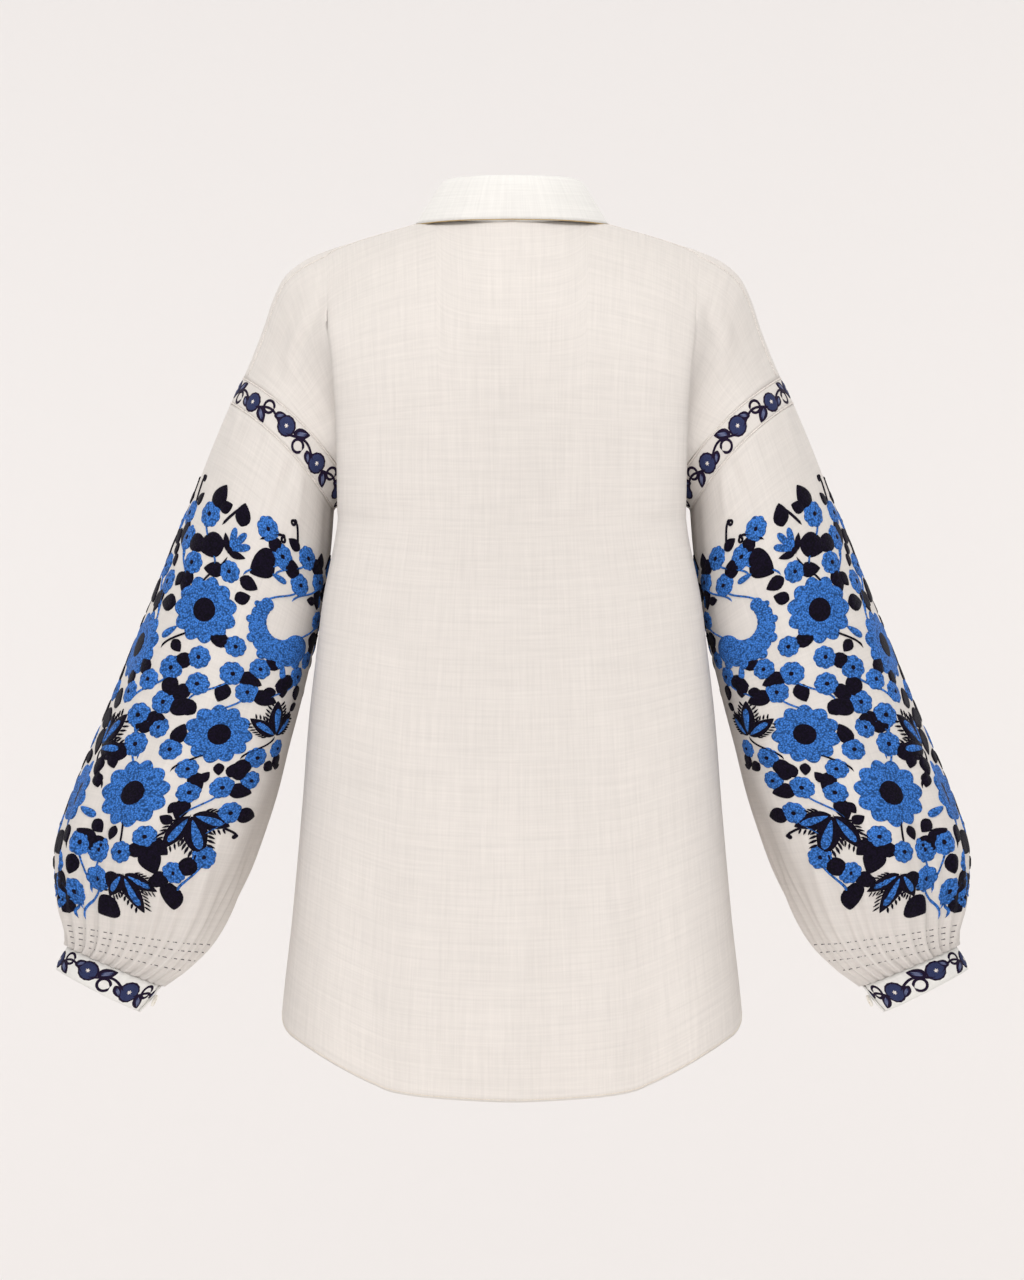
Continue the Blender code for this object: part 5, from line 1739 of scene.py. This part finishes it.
def button_mesh(node, settings, finish):
    """A disc turned from its profile: a raised rim round a shallow dish, placed where the solid is."""
    turn = np.linspace(0, 2 * math.pi, BUTTON_SEGMENTS, endpoint=False)
    radius, height = settings.radius / MM, settings.thickness / MM
    profile = np.array(BUTTON_PROFILE)
    base, right, up, out = button_place(node)
    x, y = profile[:, :1] * radius * np.cos(turn), profile[:, :1] * radius * np.sin(turn)
    z = profile[:, 1:] * height + 0 * turn
    points = (base + x[..., None] * right + y[..., None] * up + z[..., None] * out).reshape(-1, 3)
    j, i = grid_corners(len(profile), BUTTON_SEGMENTS, True)
    quads = j * BUTTON_SEGMENTS + i % BUTTON_SEGMENTS
    flat = np.stack([x, y], -1).reshape(-1, 2)
    obj = mesh_object(node + "_disc", points, quads, flat[quads], finish)
    weld(obj)
    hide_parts(node)


def button_threads(node, settings):
    """Two short rows of thread through the four holes of a button."""
    base, right, up, out = button_place(node)
    radius, height = settings.radius / MM, settings.thickness / MM
    bundles = []
    for hand in (-1, 1):
        t = np.linspace(-0.24, 0.24, 7)[:, None] * radius
        points = base + t * right + hand * 0.16 * radius * up + out * height * 0.62
        bundles.append(seam_line(points, np.broadcast_to(out, points.shape), 0.8, "cream"))
        for end in (t[0], t[-1]):
            hole = base + end * right * 1.12 + hand * 0.16 * radius * up + out * height * 0.6
            dot = hole + np.linspace(-0.5, 0.5, 5)[:, None] * right
            bundles.append(seam_line(dot, np.broadcast_to(out, dot.shape), 1.1, "ecru_and_shadow"))
    return bundles


FRONT_BUTTONS = 7
BUTTONS = (
    *("button_front_%d" % k for k in range(1, FRONT_BUTTONS + 1)), "button_stand", "button_cuff_left",
    "button_cuff_right",
)


class BLOUSE_OT_buttons(bpy.types.Operator):
    """Build the buttons and the thread that holds them"""

    bl_idname = "blouse.buttons"
    bl_label = "Buttons"

    def execute(self, context):
        settings = context.scene.blouse_buttons
        finish = plain_material("shell_button", tuple(settings.colour)[:3], 0.3, 0.4)
        bundles = []
        for node in BUTTONS:
            bundles += button_threads(node, settings)
            button_mesh(node, settings, finish)
        joined("button_threads", bundles, fine_thread())
        return {"FINISHED"}


# Stage

FRAME_CENTRE_Z = -0.36
FRAME_HEIGHT = 1.1008         # metres seen from top to bottom, at the blouse
SENSOR = 36.0
FLOOR_Z = -2.3
FLOOR_END_Y = 8.0
WALL_Y = -9.2
WALL_TOP_Z = 3.2
STAGE_BEND = 0.6              # radius of the quarter circle between floor and wall
STAGE_HALF_WIDTH = 6.0
WORLD_LIGHT = 0.715
WALL_MIDDLE = (0, WALL_Y, FRAME_CENTRE_Z)
LIGHTS = (                    # name, place, where it aims, size, power, colour
    ("front_light", (0.4, 5.7, 0.6), (0, 0, FRAME_CENTRE_Z), 2.2, 26, (1.0, 0.99, 0.985)),
    ("top_light", (0.1, 1.6, 2.1), (0, 0, -0.1), 1.4, 39, (1.0, 0.985, 0.97)),
    ("low_light", (0.0, 2.2, -2.0), (0, 0, -0.6), 1.6, 20, (1.0, 0.99, 0.985)),
    ("side_left", (3.4, -2.6, 0.4), (0, 0, FRAME_CENTRE_Z), 1.8, 40, (1.0, 0.99, 0.98)),
    ("side_right", (-3.4, -2.6, 0.4), (0, 0, FRAME_CENTRE_Z), 1.8, 40, (1.0, 0.99, 0.98)),
    ("wall_left", (3.5, -5.2, FRAME_CENTRE_Z), WALL_MIDDLE, 2.0, 37, (1.0, 0.99, 0.98)),
    ("wall_right", (-3.5, -5.2, FRAME_CENTRE_Z), WALL_MIDDLE, 2.0, 37, (1.0, 0.99, 0.98)),
)


def area_light(name, place, aim, size, power, colour):
    data = bpy.data.lights.new(name, "AREA")
    data.shape = "DISK"
    data.size = size
    data.energy = power
    data.color = colour
    lamp = bpy.data.objects.new(name, data)
    lamp.location = place
    lamp.rotation_euler = (Vector(aim) - Vector(place)).to_track_quat("-Z", "Y").to_euler()
    bpy.context.scene.collection.objects.link(lamp)


def sweep(colour):
    """The floor and the wall behind, one sheet with a quarter circle between them."""
    turn = np.linspace(0, math.pi / 2, 25)
    y = np.concatenate([[FLOOR_END_Y], WALL_Y + STAGE_BEND * (1 - np.sin(turn)), [WALL_Y]])
    z = np.concatenate([[FLOOR_Z], FLOOR_Z + STAGE_BEND * (1 - np.cos(turn)), [WALL_TOP_Z]])
    x = np.linspace(-STAGE_HALF_WIDTH, STAGE_HALF_WIDTH, 3)
    points = np.stack(np.broadcast_arrays(x[None, :], y[:, None], z[:, None]), -1)
    j, i = grid_corners(len(y), len(x), False)
    quads = (j * len(x) + i)[:, ::-1]
    mesh = bpy.data.meshes.new("backdrop")
    mesh.from_pydata(points.reshape(-1, 3).tolist(), [], quads.tolist())
    mesh.shade_smooth()
    finish, _, shader = new_material("backdrop", colour, 0.95)
    shader.inputs["Specular IOR Level"].default_value = 0.1
    mesh.materials.append(finish)
    obj = bpy.data.objects.new("backdrop", mesh)
    bpy.context.scene.collection.objects.link(obj)
    return obj


class BLOUSE_OT_stage(bpy.types.Operator):
    """Set up the backdrop, the soft studio light and the camera"""

    bl_idname = "blouse.stage"
    bl_label = "Stage"

    def execute(self, context):
        settings = context.scene.blouse_stage
        sweep(tuple(settings.backdrop_colour)[:3])
        world = bpy.data.worlds.new("studio")
        world.use_nodes = True
        background = world.node_tree.nodes["Background"]
        background.inputs["Color"].default_value = (1.0, 0.985, 0.97, 1)
        background.inputs["Strength"].default_value = WORLD_LIGHT * settings.light
        context.scene.world = world
        for name, place, aim, size, power, colour in LIGHTS:
            area_light(name, place, aim, size, power * settings.light, colour)
        data = bpy.data.cameras.new("camera")
        data.sensor_width = SENSOR
        data.lens = SENSOR * settings.distance / FRAME_HEIGHT
        data.clip_end = 60
        camera = bpy.data.objects.new("camera", data)
        camera.location = (0, settings.distance, FRAME_CENTRE_Z)
        camera.rotation_euler = (math.pi / 2, 0, math.pi)
        context.scene.collection.objects.link(camera)
        context.scene.camera = camera
        context.scene.view_settings.view_transform = "Standard"
        return {"FINISHED"}


# The panel in the sidebar


class BLOUSE_PT_panel(bpy.types.Panel):
    bl_label = "Linen Blouse"
    bl_idname = "BLOUSE_PT_panel"
    bl_space_type = "VIEW_3D"
    bl_region_type = "UI"
    bl_category = "Blouse"

    def draw(self, context):
        layout = self.layout
        for group in GROUPS:
            settings = getattr(context.scene, GROUPS[group])
            box = layout.box()
            for name in group.__annotations__:
                box.prop(settings, name)
        for operator in OPERATORS:
            layout.operator(operator.bl_idname)


GROUPS = {
    BlouseCloth: "blouse_cloth", BlouseThread: "blouse_thread", BlouseButtons: "blouse_buttons",
    BlouseStage: "blouse_stage",
}
OPERATORS = (
    BLOUSE_OT_body, BLOUSE_OT_collar, BLOUSE_OT_sleeves, BLOUSE_OT_strips, BLOUSE_OT_sleeve_embroidery,
    BLOUSE_OT_trim_embroidery, BLOUSE_OT_stitching, BLOUSE_OT_buttons, BLOUSE_OT_stage,
)


def register():
    for group, name in GROUPS.items():
        bpy.utils.register_class(group)
        setattr(bpy.types.Scene, name, bpy.props.PointerProperty(type=group))
    for kind in (*OPERATORS, BLOUSE_PT_panel):
        bpy.utils.register_class(kind)


def unregister():
    for kind in (BLOUSE_PT_panel, *reversed(OPERATORS)):
        bpy.utils.unregister_class(kind)
    for group, name in reversed(GROUPS.items()):
        delattr(bpy.types.Scene, name)
        bpy.utils.unregister_class(group)


def main():
    register()
    for operator in OPERATORS:
        group, step = operator.bl_idname.split(".")
        getattr(getattr(bpy.ops, group), step)()


if __name__ == "__main__":
    main()
